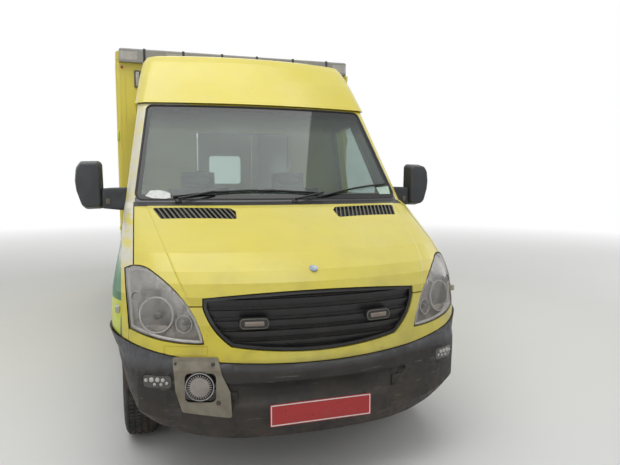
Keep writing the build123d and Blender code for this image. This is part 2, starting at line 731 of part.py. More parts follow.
# Box shell with rounded corner posts and roof edges, floor, door openings, windows and wheel arches
side_door_rear = side_door_front + side_door_width
door_frame_front = side_door_front - frame_width
door_frame_rear = side_door_rear + frame_width
window_low = 1500
window_high = 1980
window_front = 2500
window_rear = 3400
pane_lap = 18
window_frame = (window_front - frame_width, window_rear + frame_width, window_low - frame_width, window_high + frame_width)
locker_low = box_bottom + sill_rail + 25
locker_high = box_floor_top - sill_rail - 20
locker_spans = [(1450, 2150), (2300, 3150), (4250, 5100)]
rear_axle_y = wheelbase
bar_seat = bar_bottom - seat_gap
with BuildPart() as box_shell:
    with BuildSketch(Plane.XY.offset(box_bottom)):
        with Locations((0, (box_front + box_rear) / 2)):
            RectangleRounded(2 * box_half, box_length, box_edge)
    extrude(amount=box_top - box_bottom)
    fillet(box_shell.faces().sort_by(Axis.Z)[-1].edges(), box_edge - 2)
    # Side panels set back between posts, rails, the frames of door and window, and the lips of the arches
    panel_x = box_half - panel_sink
    panel_front = box_front + post_width
    panel_rear = box_rear - post_width
    side_panel = slab(panel_x, 1100, panel_front, panel_rear, box_floor_top, box_top - cant_rail)
    left_panel = side_panel - slab(900, 1100, door_frame_front, door_frame_rear, 0, side_door_top + frame_width)
    right_panel = side_panel - slab(900, 1100, *window_frame)
    skirt = slab(panel_x, 1100, panel_front, panel_rear, box_bottom + sill_rail, box_floor_top - sill_rail)
    skirt = skirt - rod(0, rear_axle_y, axle_z, rear_arch + arch_lip, 3000, (1, 0, 0))
    add(left_panel + other(right_panel) + pair(skirt), mode=Mode.SUBTRACT)
    # Seams of the lockers in the skirts and of the corner posts on the front
    for low, high in locker_spans:
        locker = slab(panel_x - panel_sink, 1100, low, high, locker_low, locker_high)
        locker = locker - slab(900, 1200, low + seam_width, high - seam_width, locker_low + seam_width, locker_high - seam_width)
        add(pair(locker), mode=Mode.SUBTRACT)
    post_seam = slab(box_half - post_width, box_half - post_width + seam_width, box_front - 1, box_front + panel_sink, 0, box_top)
    add(pair(post_seam), mode=Mode.SUBTRACT)
    inner_half = box_half - box_wall
    inner_front = box_front + box_wall
    inner_rear = box_rear - box_wall
    inside = slab(-inner_half, inner_half, inner_front, inner_rear, box_floor_top, box_top - box_wall)
    add(inside, mode=Mode.SUBTRACT)
    under_top = box_floor_top - box_floor_thick
    add(slab(-inner_half, inner_half, inner_front, inner_rear, box_bottom - 1, under_top), mode=Mode.SUBTRACT)
    arch_void = rod(0, rear_axle_y, axle_z, rear_arch, 2400, (1, 0, 0)) & slab(-1100, 1100, 0, 9000, 0, under_top)
    add(arch_void, mode=Mode.SUBTRACT)
    # Way through from the cab
    add(slab(-425, 425, box_front - 1, inner_front + 1, box_floor_top, 1975), mode=Mode.SUBTRACT)
    add(slab(-frame_clear, frame_clear, box_front - 1, inner_front + 1, box_bottom - 1, under_top), mode=Mode.SUBTRACT)
    # Notch for the light bar across the front of the roof, with its back wall and its shelf
    bar_back = bar_front + bar_depth
    add(slab(-1100, 1100, box_front - 1, bar_back + seat_gap, bar_seat, box_top + 1), mode=Mode.SUBTRACT)
    shelf_low = bar_seat - box_wall
    add(slab(-box_half, box_half, bar_back, bar_back + box_wall, shelf_low, box_top - box_edge) & inside)
    shelf = slab(-box_half + 5, box_half - 5, box_front + 5, bar_back + 20, shelf_low, bar_seat)
    add(shelf & (inside + slab(-box_half + 5, box_half - 5, box_front + 5, box_front + 60, shelf_low, bar_seat)))


def door_block(width_low, width_high, low, high, depth):
    # Door slab in the rear wall, with edges that narrow inwards
    with BuildPart(mode=Mode.PRIVATE) as made:
        with BuildSketch(Plane.XZ.offset(-box_rear)):
            with Locations(((width_low + width_high) / 2, (low + high) / 2)):
                RectangleRounded(width_high - width_low, high - low, 12)
        extrude(amount=depth, taper=4)
    return made.part


rear_door_low = box_floor_top + 10
side_low = box_floor_top + 10
rear_cut_half = rear_door_half + shut_gap
rear_cut = door_block(-rear_cut_half, rear_cut_half, rear_door_low - shut_gap, rear_door_top + shut_gap, box_wall + 2)
side_points = box_points(side_door_front - shut_gap, side_door_rear + shut_gap, side_low - shut_gap, side_door_top + shut_gap)
side_cut = side_prism(side_points, box_half - box_wall - 2, box_half, 14, 4)
box_window = side_prism(box_points(window_front, window_rear, window_low, window_high), -1100, -900, 60)
lap = pane_lap + 2
seat_points = box_points(window_front - lap, window_rear + lap, window_low - lap, window_high + lap)
box_window_seat = side_prism(seat_points, -1100, -box_half + glass_thick + seat_gap, 80)
lap = pane_lap
pane_points = box_points(window_front - lap, window_rear + lap, window_low - lap, window_high + lap)
box_pane = side_prism(pane_points, -box_half, -box_half + glass_thick, 78)

side_place = Plane((box_half + hinge_out, side_door_front - half_gap, 0), x_dir=(0, 1, 0), z_dir=(0, 0, 1))
rear_place = Plane((rear_door_half + half_gap, box_rear + hinge_out, 0), x_dir=(-1, 0, 0), z_dir=(0, 0, 1))
box_solid = box_shell.part - rear_cut - side_cut - box_window - box_window_seat
rear_moving = []
side_moving = []
for height in (1000, 1600, 2200):
    fixed, moving = hinge(Pos(0, 0, height) * side_place.location, hinge_out + 2)
    box_solid = box_solid + fixed
    side_moving.append(moving)
    fixed, moving = hinge(Pos(0, 0, height) * rear_place.location, hinge_out + 2)
    box_solid = box_solid + pair(fixed)
    rear_moving.append(moving)
write("box_window", box_pane)

# The shell is built up of six panels: two sides, roof, front, rear frame and floor
side_inner = box_half - box_wall
panel_edge = side_inner - seat_gap
roof_bottom = box_top - box_roof_edge
wall_front = box_front + box_wall
wall_rear = box_rear - box_wall
notch_low = bar_seat - box_wall - 1
bar_wall = bar_front + bar_depth + box_wall
side_region = slab(side_inner, 1100, box_front - 1, box_rear + 50, 0, roof_bottom - seat_gap)
front_region = slab(-panel_edge, panel_edge, box_front - 1, wall_front, 0, notch_low)
front_region = front_region + slab(-panel_edge, panel_edge, box_front - 1, bar_wall, notch_low, roof_bottom - seat_gap)
rear_region = slab(-panel_edge, panel_edge, wall_rear, box_rear + 50, 0, roof_bottom - seat_gap)
floor_region = slab(-panel_edge, panel_edge, wall_front + seat_gap, wall_rear - seat_gap, 0, box_floor_top + 1)
roof_region = slab(-1100, 1100, box_front - 1, box_rear + 50, roof_bottom, box_top + 1)
write("box_side_left", box_solid & side_region)
write("box_side_right", box_solid & other(side_region))
write("box_front", box_solid & front_region)
write("box_rear", box_solid & rear_region)
write("box_floor", box_solid & floor_region)
write("box_roof", box_solid & roof_region)


with BuildPart() as side_door:
    side_door_points = box_points(side_door_front, side_door_rear, side_low, side_door_top)
    add(side_prism(side_door_points, box_half - box_wall, box_half, 12, 4))
    pane_front = side_door_front + 150
    pane_rear = side_door_rear - 150
    hole = box_points(pane_front + 20, pane_rear - 20, window_low + 20, window_high - 20)
    seat_hole = box_points(pane_front - 2, pane_rear + 2, window_low - 2, window_high + 2)
    add(side_prism(hole, box_half - 100, box_half + 10, 50), mode=Mode.SUBTRACT)
    add(side_prism(seat_hole, box_half - glass_thick - seat_gap, box_half + 10, 62), mode=Mode.SUBTRACT)
    add(side_moving)
side_door.part.label = "side_door"
write("side_door", side_door.part)
side_pane = box_points(pane_front, pane_rear, window_low, window_high)
write("side_door_glass", side_prism(side_pane, box_half - glass_thick, box_half, 60))

with BuildPart() as rear_door:
    add(door_block(door_meet_gap / 2, rear_door_half, rear_door_low, rear_door_top, box_wall))
    hole = box_points(180, 680, window_low + 20, window_high - 20)
    seat_hole = box_points(158, 702, window_low - 2, window_high + 2)
    add(front_prism(hole, box_rear - 100, box_rear + 10, 50), mode=Mode.SUBTRACT)
    add(front_prism(seat_hole, box_rear - glass_thick - seat_gap, box_rear + 10, 62), mode=Mode.SUBTRACT)
    add(rear_moving)
rear_door.part.label = "rear_door_left"
write("rear_door_left", rear_door.part)
write("rear_door_right", other(rear_door.part))
rear_pane = front_prism(box_points(160, 700, window_low, window_high), box_rear - glass_thick, box_rear, 60)
write("rear_glass_left", rear_pane)
write("rear_glass_right", other(rear_pane))

# Light bar in its notch, with clear modules let into the front
module_spans = [(835, 975), (476, 605), (172, 297)]
module_depth = 34
with BuildPart() as light_bar:
    with BuildSketch(Plane.XY.offset(bar_bottom)):
        with Locations((0, bar_front + bar_depth / 2)):
            RectangleRounded(2 * bar_half, bar_depth, 30)
    extrude(amount=bar_height)
    fillet(light_bar.faces().sort_by(Axis.Z)[-1].edges(), 14)
    blank = light_bar.part
    for low, high in module_spans:
        pocket = slab(low, high, bar_front - 1, bar_front + module_depth, bar_bottom + 16, bar_bottom + bar_height - 22)
        add(pair(pocket), mode=Mode.SUBTRACT)
light_bar.part.label = "light_bar"
write("light_bar", light_bar.part)
with BuildPart() as bar_lenses:
    for low, high in module_spans:
        lens_block = slab(low + 1, high - 1, bar_front, bar_front + module_depth, bar_bottom + 17, bar_bottom + bar_height - 23)
        add(pair(lens_block & blank))
bar_lenses.part.label = "light_bar_lenses"
write("light_bar_lenses", bar_lenses.part)

# Rear step, lamps and plate
with BuildPart() as rear_step:
    with BuildSketch(Plane.XY.offset(step_height - step_thick)):
        with Locations((0, box_rear + step_depth / 2)):
            Rectangle(1760, step_depth)
    extrude(amount=step_thick)
    fillet(rear_step.edges().filter_by(Axis.Z).group_by(Axis.Y)[-1], 20)
rear_step.part.label = "rear_step"
write("rear_step", rear_step.part)
write("rear_lamps", pair(front_prism(box_points(905, 985, 1060, 1440), box_rear, box_rear + 14, 10)))
rear_plate_points = box_points(-plate_half, plate_half, rear_plate_bottom, rear_plate_bottom + plate_height)
write("rear_plate", front_prism(rear_plate_points, box_rear, box_rear + plate_thick, 8))

# Cabinets on the right-hand wall of the box
cab_x = -box_half + box_wall
with BuildPart() as cabinets:
    add(slab(cab_x, cab_x + 380, 1500, 2400, box_floor_top, 2250))
    for low in (1250, 1740):
        add(slab(cab_x + 372, cab_x + 381, 1499, 2401, low, low + 8), mode=Mode.SUBTRACT)
    add(slab(cab_x + 372, cab_x + 381, 1946, 1954, box_floor_top + 40, 2210), mode=Mode.SUBTRACT)
cabinets.part.label = "cabinets"
write("cabinets", cabinets.part)

# Mirrors on the cab doors: an arm off the door's front corner and an upright head
mirror_head = front_prism([(1052, 1385), (1200, 1375), (1225, 1420), (1225, 1650), (1190, 1685), (1062, 1680)], 140, 250, 26)
mirror_arm = front_prism([(880, 1395), (1080, 1400), (1080, 1470), (880, 1530)], 165, 235, 12)
mirror_body = mirror_head + (mirror_arm - hull(cab_rows, -seat_gap))
write("mirror_left", mirror_body)
write("mirror_right", other(mirror_body))

# Chassis: two channel rails, crossmembers, cab pads and runners under the box
rail_end = box_rear - box_wall - 10
rail_top = rail_bottom + rail_height
with BuildPart() as rail:
    with BuildSketch(Plane.XZ.offset(-rail_end)):
        with Locations((rail_outer - rail_width / 2, rail_bottom + rail_height / 2)):
            Rectangle(rail_width, rail_height)
        with Locations((rail_outer - rail_width / 2 - rail_wall, rail_bottom + rail_height / 2)):
            Rectangle(rail_width, rail_height - 2 * rail_wall, mode=Mode.SUBTRACT)
    extrude(amount=rail_end - rail_front)
    runner_x = rail_outer - rail_width / 2
    under_top = box_floor_top - box_floor_thick
    add(slab(runner_x - 20, runner_x + 20, box_front + box_wall + 10, rail_end, rail_top, under_top))
    for low in (100, 900):
        add(slab(runner_x - 25, runner_x + 25, low, low + 100, rail_top, cab_floor_top - cab_floor_thick))
write("chassis_rails", pair(rail.part))
with BuildPart() as crossmembers:
    for y in (-800, 450, 1250, 2500, 3250, 4100, rail_end - 50):
        add(slab(-rail_outer + rail_wall, rail_outer - rail_wall, y - 40, y + 40, rail_bottom + 15, rail_bottom + 105))
crossmembers.part.label = "crossmembers"
write("crossmembers", crossmembers.part)

with BuildPart() as engine:
    add(slab(-260, 260, -640, -120, 440, 1000))
    add(slab(-rail_outer + 20, rail_outer - 20, -420, -340, rail_top, rail_top + 20))
    add(slab(-150, 150, -120, -30, 470, 560))
engine.part.label = "engine"
write("engine", engine.part)

with BuildPart() as fuel_tank:
    add(side_prism([(1500, 340), (2350, 340), (2350, 600), (1500, 600)], rail_outer + 20, 900, 60))
    add(slab(rail_outer, rail_outer + 30, 1600, 1640, 490, 570))
    add(slab(rail_outer, rail_outer + 30, 2200, 2240, 490, 570))
fuel_tank.part.label = "fuel_tank"
write("fuel_tank", fuel_tank.part)

# Front axle: beam under the rails, arms to the kingpins, forks above and below the knuckles
fork_reach = 75
half_beam = axle_beam / 2
with BuildPart() as front_axle:
    add(slab(-rail_outer - 30, rail_outer + 30, -half_beam, half_beam, axle_z - half_beam, axle_z + half_beam))
    add(slab(rail_outer - rail_width, rail_outer, -60, 60, axle_z + 20, rail_bottom))
    add(slab(-rail_outer, -rail_outer + rail_width, -60, 60, axle_z + 20, rail_bottom))
    arm_length = kingpin_x - 38 - rail_outer
    add(pair(slab(rail_outer, rail_outer + arm_length, -32, 32, axle_z - 35, axle_z + 35)))
    web = slab(kingpin_x - 60, kingpin_x - 38, -30, 30, axle_z - fork_reach, axle_z + fork_reach)
    upper = slab(kingpin_x - 60, kingpin_x, -26, 26, axle_z + fork_reach - 20, axle_z + fork_reach)
    lower = slab(kingpin_x - 60, kingpin_x, -26, 26, axle_z - fork_reach, axle_z - fork_reach + 20)
    pin = rod(kingpin_x, 0, axle_z, kingpin_radius, 2 * fork_reach, (0, 0, 1))
    upper_eye = rod(kingpin_x, 0, axle_z + fork_reach - 10, 26, 20, (0, 0, 1))
    lower_eye = rod(kingpin_x, 0, axle_z - fork_reach + 10, 26, 20, (0, 0, 1))
    add(pair(web + upper + lower + pin + upper_eye + lower_eye))
front_axle.part.label = "front_axle"
write("front_axle", front_axle.part)

wheel_x = track_front / 2
knuckle_half_height = fork_reach - 20 - run_gap
knuckle = rod(kingpin_x, 0, axle_z, 31, 2 * knuckle_half_height, (0, 0, 1))
knuckle = knuckle + rod((kingpin_x + 20 + wheel_x + 50) / 2, 0, axle_z, stub_radius, wheel_x + 30 - kingpin_x, (1, 0, 0))
knuckle = knuckle + slab(kingpin_x - 10, kingpin_x + 10, 20, 120, axle_z - 40, axle_z - 15)
knuckle = knuckle - rod(kingpin_x, 0, axle_z, kingpin_radius + run_gap, 400, (0, 0, 1))
write("knuckle_left", knuckle)
write("knuckle_right", other(knuckle))

# Rear axle: tube, final drive casing and leaf springs hung from the rails
inner_twin = twin_outer - twin_spacing
twin_mid = (twin_outer + inner_twin) / 2
spring_x = rail_outer - rail_width / 2
tube_end = inner_twin - tyre_width / 2 - 12
stub_end = twin_mid + 50
with BuildPart() as rear_axle:
    with BuildSketch(Plane.XZ.offset(-rear_axle_y)):
        with BuildLine():
            Polyline((-stub_end, axle_z), (-stub_end, axle_z + stub_radius), (-tube_end, axle_z + stub_radius))
            Polyline((-tube_end, axle_z + stub_radius), (-tube_end, axle_z + axle_tube_radius), (-150, axle_z + axle_tube_radius))
            ThreePointArc((-150, axle_z + axle_tube_radius), (0, axle_z + 140), (150, axle_z + axle_tube_radius))
            Polyline((150, axle_z + axle_tube_radius), (tube_end, axle_z + axle_tube_radius), (tube_end, axle_z + stub_radius))
            Polyline((tube_end, axle_z + stub_radius), (stub_end, axle_z + stub_radius), (stub_end, axle_z), (-stub_end, axle_z))
        make_face()
    revolve(axis=Axis((0, rear_axle_y, axle_z), (1, 0, 0)))
    leaf_top = axle_z + axle_tube_radius + 30
    spring = slab(spring_x - 30, spring_x + 30, rear_axle_y - 620, rear_axle_y + 620, leaf_top - 30, leaf_top)
    spring = spring + slab(spring_x - 30, spring_x + 30, rear_axle_y - 60, rear_axle_y + 60, axle_z, leaf_top)
    spring = spring + slab(spring_x - 25, spring_x + 25, rear_axle_y - 620, rear_axle_y - 580, leaf_top, rail_bottom)
    spring = spring + slab(spring_x - 25, spring_x + 25, rear_axle_y + 580, rear_axle_y + 620, leaf_top, rail_bottom)
    add(pair(spring))
rear_axle.part.label = "rear_axle"
write("rear_axle", rear_axle.part)

# Wheels
half_tyre = tyre_width / 2
with BuildPart() as tyre:
    with BuildSketch(Plane.XZ):
        with BuildLine():
            wall_height = tyre_radius - rim_radius
            # Half profile from the bead to the tread: side offset, share of the wall's height
            profile = [(half_tyre - 20, 0), (half_tyre - 4, 0.25), (half_tyre, 0.55), (half_tyre - 10, 0.88), (half_tyre - 28, 1)]
            edge_points = [(offset_x, rim_radius + share * wall_height) for offset_x, share in profile]
            Polyline(*edge_points, *[(-x, z) for x, z in reversed(edge_points)], close=True)
        make_face()
    revolve(axis=Axis.X)


def rim(disc_points, hole_ring, hole_x):
    # Steel rim: barrel with lips, and a dished disc with ten hand holes
    well = rim_radius - 15
    edge = rim_width / 2
    outer = rim_radius - run_gap
    with BuildPart(mode=Mode.PRIVATE) as made:
        with BuildSketch(Plane.XZ):
            with BuildLine():
                half_well = [(edge, outer), (edge, well + 4), (edge - 12, well - 6)]
                Polyline(*half_well, *[(-x, z) for x, z in reversed(half_well)], close=True)
            make_face()
            with BuildLine():
                Polyline(*disc_points, close=True)
            make_face()
        revolve(axis=Axis.X)
        with Locations(Plane((hole_x, 0, 0), z_dir=(1, 0, 0))):
            with PolarLocations(hole_ring, 10):
                Cylinder(15, 60, mode=Mode.SUBTRACT)
    return made.part


bore = stub_radius + run_gap
rim_inside = rim_radius - 20
front_disc = [(30, rim_inside), (52, 120), (32, 92), (32, bore), (44, bore), (44, 88), (64, 120), (44, rim_inside)]
dish = twin_spacing / 2
twin_disc = [(-22, rim_inside), (-dish + 12, 118), (-dish + 12, bore), (-dish, bore), (-dish, 124), (-38, rim_inside)]
front_rim = rim(front_disc, 150, 45)
twin_rim = rim(twin_disc, 150, -65)
for side, sign in (("left", 1), ("right", -1)):
    place = Pos(sign * wheel_x, 0, axle_z)
    disc = front_rim if sign == 1 else other(front_rim)
    write(f"front_tyre_{side}", place * tyre.part)
    write(f"front_rim_{side}", place * disc)
    outer_place = Pos(sign * twin_outer, rear_axle_y, axle_z)
    inner_place = Pos(sign * inner_twin, rear_axle_y, axle_z)
    out_disc = twin_rim if sign == 1 else other(twin_rim)
    in_disc = other(twin_rim) if sign == 1 else twin_rim
    write(f"rear_tyres_{side}", outer_place * tyre.part + inner_place * tyre.part)
    write(f"rear_rims_{side}", outer_place * out_disc + inner_place * in_disc)
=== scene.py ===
import math
import bmesh
import bpy
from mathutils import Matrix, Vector


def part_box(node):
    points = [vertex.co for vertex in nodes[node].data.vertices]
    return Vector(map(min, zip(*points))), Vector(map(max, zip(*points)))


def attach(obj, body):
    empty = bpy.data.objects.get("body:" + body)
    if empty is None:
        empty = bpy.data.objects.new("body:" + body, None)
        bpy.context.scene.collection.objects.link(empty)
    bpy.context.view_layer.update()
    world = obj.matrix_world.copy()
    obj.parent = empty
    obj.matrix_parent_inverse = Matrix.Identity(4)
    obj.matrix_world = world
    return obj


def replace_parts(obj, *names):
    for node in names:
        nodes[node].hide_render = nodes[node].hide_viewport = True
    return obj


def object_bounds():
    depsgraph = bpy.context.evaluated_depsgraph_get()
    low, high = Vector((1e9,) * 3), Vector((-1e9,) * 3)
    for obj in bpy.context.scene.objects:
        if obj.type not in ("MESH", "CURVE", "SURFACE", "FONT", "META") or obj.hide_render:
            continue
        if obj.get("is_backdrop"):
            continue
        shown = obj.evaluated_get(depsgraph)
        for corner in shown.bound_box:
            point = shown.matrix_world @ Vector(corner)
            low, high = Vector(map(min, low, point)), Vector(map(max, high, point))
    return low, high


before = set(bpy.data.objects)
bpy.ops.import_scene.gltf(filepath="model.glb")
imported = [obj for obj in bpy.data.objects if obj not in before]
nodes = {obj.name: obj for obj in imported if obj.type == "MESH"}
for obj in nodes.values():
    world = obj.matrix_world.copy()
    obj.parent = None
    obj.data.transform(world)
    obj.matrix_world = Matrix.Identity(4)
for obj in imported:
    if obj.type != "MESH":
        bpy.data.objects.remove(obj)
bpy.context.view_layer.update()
print("frame loaded,", len(nodes), "nodes")

frontAxle = -2.198  # the front axle's place along the vehicle, in metres
rearAxle = 3665  # behind the front axle, in millimetres
axleHeight = 350


def at(x, y, z):  # millimetres from the front axle to metres in the scene
    return Vector((x / 1000, y / 1000 + frontAxle, z / 1000))


def inMillimetres(place):  # and back
    return place.x * 1000, (place.y - frontAxle) * 1000, place.z * 1000


# camera as solved from the photo
view = dict(place=(-797, -3419, 1549), turn=-17.0, tilt=-5.4, lens=31.06, sensor=36, reach=200)
bpy.ops.object.camera_add(location=at(*view["place"]))
camera = bpy.context.object
camera.data.lens = view["lens"]
camera.data.sensor_width = view["sensor"]
camera.data.clip_end = view["reach"]
turn, tilt = math.radians(view["turn"]), math.radians(view["tilt"])
aim = Vector((math.sin(-turn), math.cos(turn), 0)) * math.cos(tilt) + Vector((0, 0, math.sin(tilt)))
camera.rotation_euler = aim.to_track_quat("-Z", "Y").to_euler()
bpy.context.scene.camera = camera
bpy.context.scene.view_settings.view_transform = "Standard"

# each lamp has its place, its aim, its size and its power
studio = dict(
    sky=0.40, floor=(0.78, 0.78, 0.77), floorPatch=(0.74, 0.74, 0.73), fade=(4.5, 15),
    lamps=dict(lampTop=((-1.0, -3.0, 7.5), (0, -0.5, 1), 7.0, 330),
        lampFront=((-5.0, -9.0, 4.0), (0, -2.5, 1.0), 5.0, 85),
        lampSide=((8.0, -1.0, 4.0), (0, 0, 1.0), 5.0, 80),
        lampBack=((1.0, 9.0, 5.0), (0, 2.0, 1.0), 5.0, 80)))
for name, (place, aim, size, power) in studio["lamps"].items():
    bpy.ops.object.light_add(type="AREA", location=place)
    light = bpy.context.object
    light.name = name
    light.data.size = size
    light.data.energy = power
    light.rotation_euler = (Vector(aim) - Vector(place)).to_track_quat("-Z", "Y").to_euler()


class Tree:  # short hand for one node tree
    def __init__(self, tree):
        self.tree = tree

    def join(self, source, target):
        self.tree.links.new(source, target)

    def add(self, kind, inputs=None, **settings):  # inputs are links or plain values
        node = self.tree.nodes.new("ShaderNode" + kind)
        for key, value in settings.items():
            setattr(node, key, value)
        for key, value in (inputs or {}).items():
            if hasattr(value, "links"):
                self.join(value, node.inputs[key])
            else:
                node.inputs[key].default_value = value
        return node

    def calc(self, how, one, two=0):
        return self.add("Math", {0: one, 1: two}, operation=how).outputs[0]

    def times(self, product, *others):
        for other in others:
            product = self.calc("MULTIPLY", product, other)
        return product

    def above(self, value, limit):
        return self.calc("GREATER_THAN", value, limit)

    def below(self, value, limit):
        return self.calc("LESS_THAN", value, limit)

    def size(self, value):  # without its sign
        return self.calc("ABSOLUTE", value)

    def ramp(self, value, low, high, lowTo=0.0, highTo=1.0):
        inputs = {"Value": value, "From Min": low, "From Max": high, "To Min": lowTo, "To Max": highTo}
        return self.add("MapRange", inputs, clamp=True).outputs["Result"]


class Mix(Tree):  # one material
    def __init__(self, name, **settings):
        self.mat = bpy.data.materials.new(name)
        self.mat.use_nodes = True
        super().__init__(self.mat.node_tree)
        self.skin = self.tree.nodes["Principled BSDF"]
        self.coords = self.add("TexCoord").outputs
        self.place = self.coords["Object"]
        for key, value in settings.items():
            self.skin.inputs[key].default_value = value

    def feed(self, name, source):  # a link into the shader
        self.join(source, self.skin.inputs[name])

    def mapped(self, stretch, shift=(0, 0, 0)):
        inputs = {"Vector": self.place, "Scale": stretch, "Location": shift}
        return self.add("Mapping", inputs).outputs["Vector"]

    def noise(self, scale, detail=4, stretch=None):
        source = self.mapped(stretch) if stretch else self.place
        return self.add("TexNoise", {"Vector": source, "Scale": scale, "Detail": detail}).outputs["Fac"]

    def cloud(self, scale, detail, low, high, lowTo=0.0, highTo=1.0, stretch=None):  # noise with clear edges
        return self.ramp(self.noise(scale, detail, stretch), low, high, lowTo, highTo)

    def checks(self, scale, source=None):
        return self.add("TexChecker", {"Vector": source or self.place, "Scale": scale}).outputs["Fac"]

    def blend(self, amount, *colours):
        one, two = [c if hasattr(c, "links") else (*c, 1) for c in colours]
        return self.add("Mix", {"Factor": amount, "A": one, "B": two}, data_type="RGBA").outputs["Result"]

    def axis(self, letter, kind="Object"):
        return self.add("SeparateXYZ", {0: self.coords[kind]}).outputs[letter]

    def gloss(self, scale, detail, low, high, start=0.3):  # uneven roughness
        self.feed("Roughness", self.cloud(scale, detail, start, 0.7, low, high))

    def bump(self, height, strength, distance=0.001):
        inputs = {"Strength": strength, "Distance": distance, "Height": height}
        self.feed("Normal", self.add("Bump", inputs).outputs["Normal"])


def dimmed(colour, share):
    return tuple(c * share for c in colour)


def worn(name, colour, rough, tint, patch, amount, grain, dent, metal=0.0, low=0.0, coat=0.0):
    # one colour with soft patches of a second one, road dirt low down, uneven gloss and a fine grain
    mix = Mix(name, Metallic=metal, **{"Coat Weight": coat, "Coat Roughness": 0.08})
    shade = mix.blend(mix.cloud(patch, 6, 0.45, 0.75, 0, amount), colour, tint)
    if low:
        dirt = mix.times(mix.ramp(mix.axis("Z"), 0.25, 1.0, low, 0), mix.cloud(9, 6, 0.35, 0.7))
        shade = mix.blend(dirt, shade, (0.12, 0.085, 0.055))
    mix.feed("Base Color", shade)
    mix.gloss(patch * 7, 5, rough * 0.8, rough * 1.25)
    mix.bump(mix.noise(grain, 2), dent)
    return mix.mat


# yellow paint: its colours, the squares' size, rows and start, and where other colours begin, in metres
yellow = dict(
    colour=(0.67, 0.56, 0.022), faded=(0.66, 0.59, 0.14), chalk=(0.62, 0.60, 0.50),
    green=(0.006, 0.17, 0.055), lime=(0.62, 0.70, 0.03), lining=(0.30, 0.31, 0.305),
    black=(0.018, 0.018, 0.018), dirt=(0.20, 0.14, 0.06), chip=(0.16, 0.12, 0.07), cell=(0.6, 0.3),
    band=(0.66, 1.26), shift=5.75, sideFrom=0.93, ceiling=1.3, cabEnd=-1.4, pillarX=-0.5, pillarZ=1.40,
    scuttleX=0.863, scuttleZ=(1.36, 1.456), sillY=-0.95, sillZ=0.642, wingX=-0.862,
    wingEdge=(-0.955, -0.93), wingTop=(1.08, 1.16))


def squares(mix):  # green and lime ones in two rows
    long, high = yellow["cell"]
    place = mix.mapped((0, 1 / long, 1 / high), (0.5, yellow["shift"], -yellow["band"][0] / high))
    return mix.blend(mix.checks(1, place), yellow["green"], yellow["lime"])


def yellowPaint(name, livery=False, chalk=False):
    mix = Mix(name, **{"Coat Weight": 0.55, "Coat Roughness": 0.20, "Specular IOR Level": 0.45})
    across, along, height = [mix.axis(letter) for letter in "XYZ"]
    shade = mix.blend(mix.cloud(1.1, 4, 0.35, 0.65, 0.1, 0.7), yellow["colour"], yellow["faded"])
    if livery:  # squares on the sides, peeling paint on one pillar, grey linings, dark scuttle and sills
        sideways, lengthways, upwards = [mix.axis(letter, "Normal") for letter in "XYZ"]
        side = mix.times(mix.above(mix.size(sideways), 0.8), mix.above(mix.size(across), yellow["sideFrom"]))
        rows = mix.times(mix.above(height, yellow["band"][0]), mix.below(height, yellow["band"][1]))
        shade = mix.blend(mix.times(side, rows), shade, squares(mix))
        inward = mix.below(mix.times(sideways, across), -0.25)
        overhead = mix.times(mix.below(upwards, -0.8), mix.above(height, yellow["ceiling"]))
        lined = mix.calc("MAXIMUM", inward, overhead)
        cab = mix.times(mix.below(lengthways, -0.25), mix.below(along, yellow["cabEnd"]))
        pillar = mix.times(cab, mix.above(height, yellow["pillarZ"]), mix.below(across, yellow["pillarX"]))
        peeling = mix.times(pillar, mix.cloud(9, 8, 0.3, 0.55, 0.25, 0.9))
        shade = mix.blend(peeling, shade, yellow["chalk"])
        low, high = yellow["scuttleZ"]
        scuttle = mix.times(cab, mix.below(mix.size(across), yellow["scuttleX"]), mix.below(height, high),
                            mix.above(height, low))
        sill = mix.times(mix.below(height, yellow["sillZ"]), mix.below(along, yellow["sillY"]))
        dark = mix.calc("MAXIMUM", scuttle, sill)
    if chalk:  # sun-bleached, peeling paint along the right wing's top
        strip = mix.times(mix.below(across, yellow["wingX"]), mix.ramp(across, *yellow["wingEdge"]),
                          mix.ramp(height, *yellow["wingTop"]))
        peeling = mix.times(strip, mix.cloud(14, 8, 0.34, 0.5, stretch=(1, 0.4, 1)))
        shade = mix.blend(peeling, shade, yellow["chalk"])
    dirt = mix.times(mix.ramp(height, 0.35, 1.25, 0.6, 0.05), mix.cloud(7, 8, 0.42, 0.72))
    shade = mix.blend(dirt, shade, yellow["dirt"])
    shade = mix.blend(mix.times(mix.cloud(55, 3, 0.735, 0.75), 0.6), shade, yellow["chip"])
    if livery:
        shade = mix.blend(dark, mix.blend(lined, shade, yellow["lining"]), yellow["black"])
    mix.feed("Base Color", shade)
    mix.gloss(5, 6, 0.30, 0.50)
    mix.bump(mix.noise(160, 2), 0.05)
    return mix.mat


def clearGlass(name, colour, haze):
    mix = Mix(name, IOR=1.45, **{"Transmission Weight": 1.0})
    mix.feed("Base Color", mix.blend(mix.cloud(6, 6, 0.45, 0.8, 0, 0.35), colour, dimmed(colour, 0.82)))
    mix.gloss(4, 7, haze * 0.6, haze * 1.6, 0.4)
    return mix.mat


# windscreen: where its pane ends and its shade band begins, in metres
screen = dict(sill=1.440, head=2.074, half=0.862, lean=0.142, band=(1.88, 2.03), border=(-0.034, -0.031))


